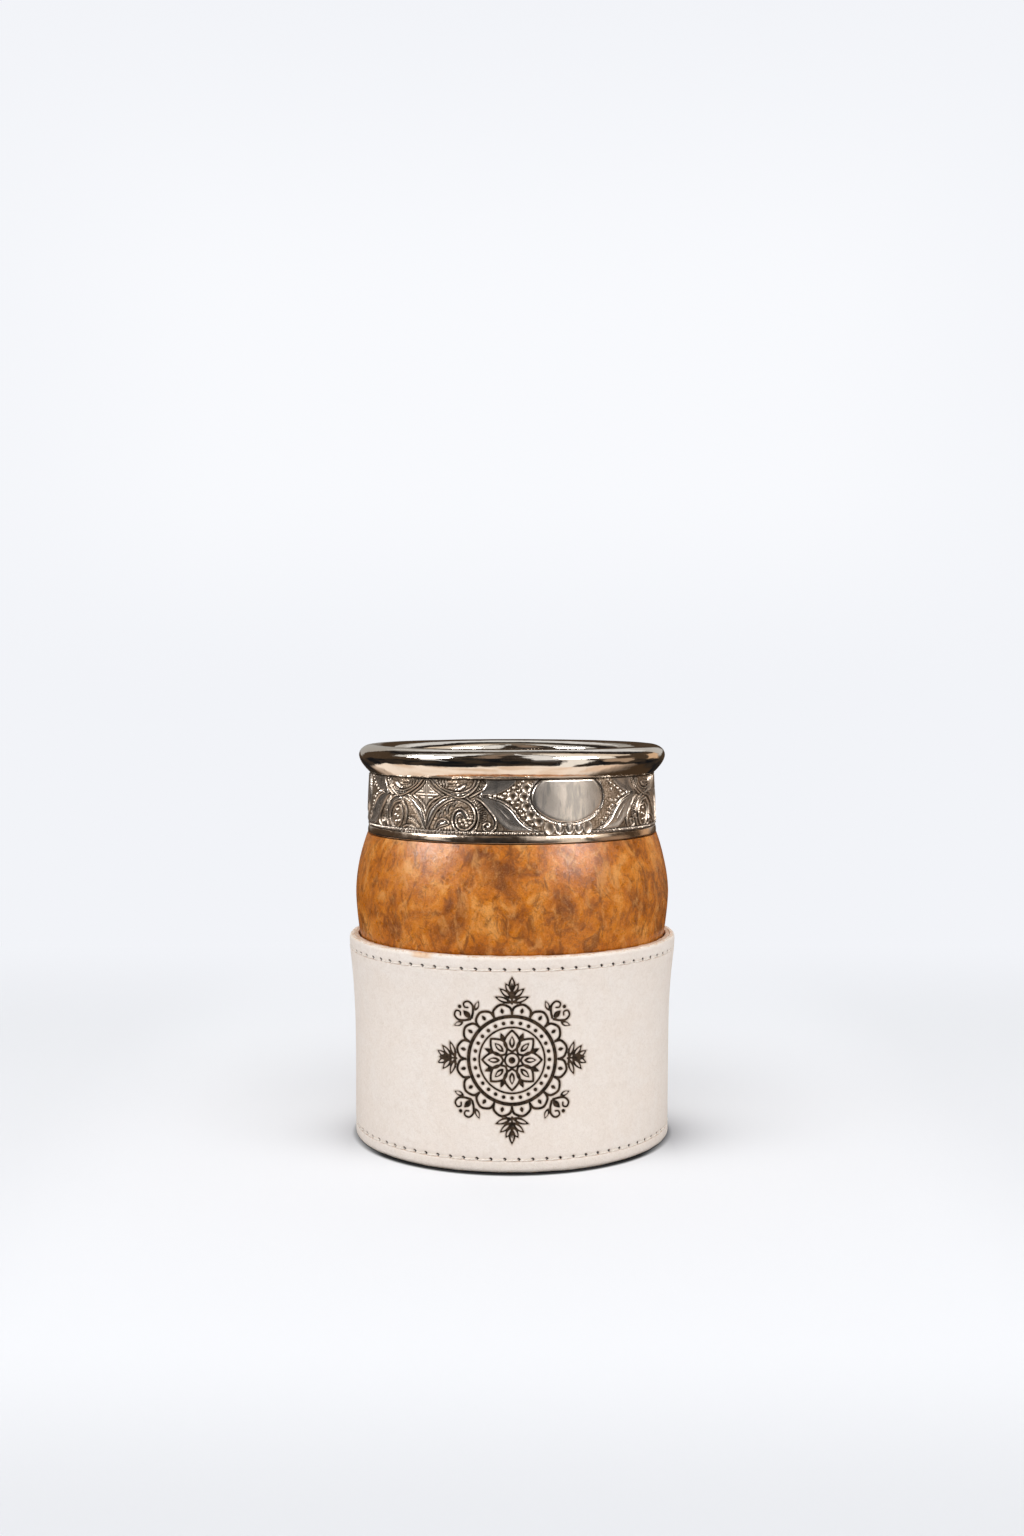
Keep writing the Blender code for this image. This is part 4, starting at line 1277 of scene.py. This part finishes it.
def make_lace(look):
    """The flat lace over the back seam, from hole to hole."""
    holes = []
    for side, height in lace_holes():
        radius = wall_radius(height)
        holes.append(np.array([pi - side * LACE_OFFSET / radius, radius, height]))
    share = np.linspace(0, 1, 12)
    drop = (2 * np.abs(share - 0.5)) ** 6
    path = []
    for i, (here, ahead) in enumerate(zip(holes, holes[1:])):
        angle, radius, height = here[:, None] + (ahead - here)[:, None] * share
        level = 0.42 - drop if i % 2 == 0 else 0.9 * drop - WALL - 0.42
        path.append(placed(angle, radius + level, height))
    shape, _ = strand(path, 0.48, 1e6, 10, 0.7)
    finished("lace", shape, look, "sleeve", "back_lace", None, 80)


# Stage, light and camera

# What the metal mirrors: azimuth and half width, elevation and half height in degrees, colour
MIRRORED_SOFT = radians(5)
MIRRORED = [
    (180, 110, 12, 16, (70, 46, 28)),
    (-160, 11, 26, 22, (400, 380, 350)),
    (156, 11, 26, 22, (550, 530, 500)),
    (172, 30, 44, 9, (780, 780, 780)),
    (0, 180, 88, 16, (180, 150, 120)),
    (-88, 12, 50, 28, (700, 690, 670)),
    (-62, 7, 34, 40, (960, 950, 940)),
    (-20, 8, 62, 30, (260, 190, 140)),
    (26, 8, 46, 44, (880, 870, 860)),
    (50, 8, 4, 64, (980, 930, 860)),
    (24, 8, -6, 9, (100, 90, 85)),
    (86, 14, -9, 10, (420, 300, 210)),
    (70, 8, 44, 34, (980, 900, 800)),
    (92, 10, 54, 26, (820, 680, 540)),
    (132, 8, 6, 9, (720, 480, 300)),
]
# The warm floor it mirrors, from this elevation down in front and at the back, and its two colours
MIRRORED_FLOOR = (radians(-52), radians(-20), (1050, 900, 770), (860, 640, 480))
# The floor's ends on the right and the left: azimuths between which they begin, and colour
MIRRORED_ENDS = ((100, 130, (60, 36, 20)), (-142, -156, (60, 35, 20)))


def mirrored_room(sky):
    """Colour of a dark room with bright panels, bent as hand-worked metal does."""
    cloud = sky.node("TexNoise", sky.place, 2.4, 3, 0.5, LACUNARITY, 0.8)
    bent = sky.vector("SUBTRACT", cloud.outputs["Color"], (0.5, 0.5, 0.5))
    bent = sky.vector("MULTIPLY", bent, (0.42, 0.42, 0.42))
    x, y, z = sky.xyz(sky.vector("NORMALIZE", sky.vector("ADD", sky.place, bent)))
    azimuth = sky.maths("ARCTAN2", x, sky.times(y, -1))
    elevation = sky.maths("ARCSINE", z)
    shade = sky.step(cloud.outputs["Fac"], 0.35, 0.65)
    colour = sky.mix(shade, (8, 9, 11), (50, 36, 25))
    for turn, half_turn, tilt, half_tilt, tone in MIRRORED:
        off = sky.off(sky.maths("WRAP", sky.minus(azimuth, radians(turn)), pi, -pi))
        up = sky.off(elevation, radians(tilt))
        wide = sky.step(off, radians(half_turn), radians(half_turn) + MIRRORED_SOFT, 1, 0)
        high = sky.step(up, radians(half_tilt), radians(half_tilt) + MIRRORED_SOFT, 1, 0)
        colour = sky.mix(sky.times(wide, high), colour, tone)
    low, high, peach, brown = MIRRORED_FLOOR
    brink = sky.step(sky.off(azimuth), radians(40), radians(165), low, high)
    place = sky.vector("MULTIPLY", sky.place, (2.6, 2.6, 1))
    streaks = sky.node("TexNoise", place, 1.1, 1).outputs["Fac"]
    warm = sky.mix(sky.step(streaks, 0.38, 0.62), peach, brown)
    for start, end, tone in MIRRORED_ENDS:
        warm = sky.mix(sky.step(azimuth, radians(start), radians(end)), warm, tone)
    return sky.mix(sky.step(sky.minus(brink, elevation), -0.05, 0.05), colour, warm)


def world_light():
    """A pale studio that lights all round, with a room of its own to mirror."""
    world = bpy.data.worlds.new("studio")
    bpy.context.scene.world = world
    world.use_nodes = True
    world.node_tree.nodes.clear()
    sky = Nodes(world.node_tree, "Generated")
    x, _, z = sky.xyz()
    # Painted glow: a brighter band across the backdrop the camera sees, just above the horizon and
    # strongest in the middle.
    glow = sky.times(sky.step(z, -0.01, 0.13), sky.step(z, 0.22, 0.42, 1, 0))
    glow = sky.times(glow, sky.step(sky.off(x), 0.16, 0.32, 1, 0.4))
    pale = sky.mix(glow, BACKGROUND, BRIGHT_BACKGROUND)
    lit, mirrored, seen = (
        sky.node("Background", colour, strength).outputs[0]
        for colour, strength in (((1000, 1000, 1000), 0.76), (mirrored_room(sky), 1), (pale, 1))
    )
    path = sky.node("LightPath").outputs
    mixed = sky.node("MixShader", path["Is Glossy Ray"], lit, mirrored).outputs[0]
    mixed = sky.node("MixShader", path["Is Camera Ray"], mixed, seen).outputs[0]
    sky.node("OutputWorld", mixed)


def softbox(name, azimuth, elevation, size, power, mirrored):
    """A lamp that faces the cup and either lights it or shows in its gloss."""
    light = bpy.data.lights.new(name, "AREA")
    light.shape = "RECTANGLE"
    light.size, light.size_y = size
    light.energy = power
    made = added(name, light)
    made.visible_diffuse = not mirrored
    made.visible_glossy = mirrored
    turn, tilt = radians(azimuth), radians(elevation)
    out, up = LAMP_DISTANCE * cos(tilt), LAMP_DISTANCE * sin(tilt)
    made.location = (out * sin(turn), -out * cos(turn), LAMP_LEVEL + up)
    made.rotation_euler = (pi / 2 - tilt, 0, turn)


def make_floor():
    """A pale floor with a painted contact shadow round the cup's foot and faint painted shade nearer the
    camera and to the sides, fading into the background.
    """
    look = Look("floor", roughness=0.9)
    x, y, _ = look.xyz()
    aside = look.off(x)

    def fade(value, low, high, to_low=0, to_high=1):
        """A step between two distances in millimetres."""
        return look.step(value, low * MM, high * MM, to_low, to_high)

    # Painted contact shadow: a flat dark band beside the cup's foot, deeper on the right than on the
    # left.
    off = look.maths("DIVIDE", look.plus(y, 5 * MM), 19 * MM)
    flat = look.maths("EXPONENT", look.times(look.times(off, off), -1))
    beside = look.maths("EXPONENT", look.maths("DIVIDE", look.minus(45 * MM, aside), 11 * MM))
    painted_contact_shadow = look.times(flat, look.maths("MINIMUM", beside, 1))
    painted_contact_shadow = look.times(painted_contact_shadow, fade(x, -20, 20, 0.27, 0.47))
    # Painted shade on the floor nearer the camera, and a fainter one towards the sides.
    painted_front_shade = look.times(fade(y, -150, -225, 0, 0.13), fade(y, -350, -250))
    painted_front_shade = look.times(painted_front_shade, fade(aside, 170, 90))
    shade = look.plus(look.plus(painted_contact_shadow, painted_front_shade), fade(aside, 95, 150, 0, 0.05))
    look.colour = look.mix(shade, FLOOR, (0, 0, 20))
    ahead = look.vector("ADD", look.place, (0, MM, 0))
    radius = look.node("VectorMath", ahead, operation="LENGTH").outputs["Value"]
    # Painted contact shadow: a nearly black ring just round the wall's foot, fainter at the sides.
    ring = look.times(fade(radius, 44.8, 46.4, 0.95, 0), fade(aside, 34, 45, 1, 0.4))
    look.coat(ring, (0, 0, 0))
    look.set(Base_Color=look.colour, Specular_IOR_Level=0)
    seen = look.node("Emission", BACKGROUND, 1).outputs[0]
    share = look.maths("MAXIMUM", fade(y, 90, 330), fade(radius, 260, 620))
    share = look.times(share, look.node("LightPath").outputs["Is Camera Ray"])
    mixed = look.node("MixShader", share, look.shader.outputs[0], seen).outputs[0]
    look.feed(look.tree.nodes["Material Output"].inputs["Surface"], mixed)
    half = 4000 * MM
    mesh = bpy.data.meshes.new("floor")
    corners = [(-half, -half, 0), (half, -half, 0), (half, half, 0), (-half, half, 0)]
    mesh.from_pydata(corners, [], [(0, 1, 2, 3)])
    mesh.materials.append(look.material)
    made = added("floor", mesh)
    made.visible_glossy = False


def make_camera():
    camera = bpy.data.cameras.new("camera")
    camera.sensor_width = SENSOR
    camera.lens = FOCAL_PIXELS * SENSOR / IMAGE_HEIGHT
    camera.shift_y = (HORIZON_ROW - IMAGE_HEIGHT / 2) / IMAGE_HEIGHT
    camera.clip_start = 0.01
    made = added("camera", camera)
    made.location = (0, -CAMERA_DISTANCE, CAMERA_HEIGHT)
    made.rotation_euler = (pi / 2, 0, 0)
    bpy.context.scene.camera = made


def main():
    make_camera()
    polished = mirror_look("polished_silver", (860, 800, 730), 0.05)
    raw = hide_look("tan_leather", (840, 680, 550), (680, 480, 330), 2, 0.75)
    black = hide_look("black_leather", (30, 26, 23), (12, 10, 9), 3, 0.7)
    thread = thread_look()
    make_gourd()
    make_rim(polished)
    make_collar(polished)
    make_ring(mirror_look("edging_silver", (740, 600, 480), 0.13))
    make_band()
    make_wall(cream_look())
    make_lining(raw)
    make_pan(raw)
    make_sole(black)
    lining_face = wall_radius(TOP_SEAM) - WALL - PLY_GAP - LINING
    make_stitching("top_thread", TOP_SEAM, lining_face, thread, "top_stitching")
    make_stitching("bottom_thread", BOTTOM_SEAM, PAN_RADIUS - PAN, thread, "bottom_stitching")
    make_lace(hide_look("lace_leather", (800, 700, 600), (660, 520, 400), 1.5, 0.6))
    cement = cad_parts["rim_cement"]
    cement.data.materials.clear()
    cement.data.materials.append(cement_look())

    world_light()
    softbox("left_gloss", -66, 29, (0.5, 0.3), 11.6, True)
    softbox("right_gloss", 50, 29, (0.46, 0.3), 9.4, True)
    softbox("left_lamp", -38, 62, (0.6, 0.5), 2, False)
    softbox("right_lamp", 34, 62, (0.6, 0.5), 1.8, False)
    make_floor()
    bpy.context.scene.view_settings.view_transform = "Standard"


main()
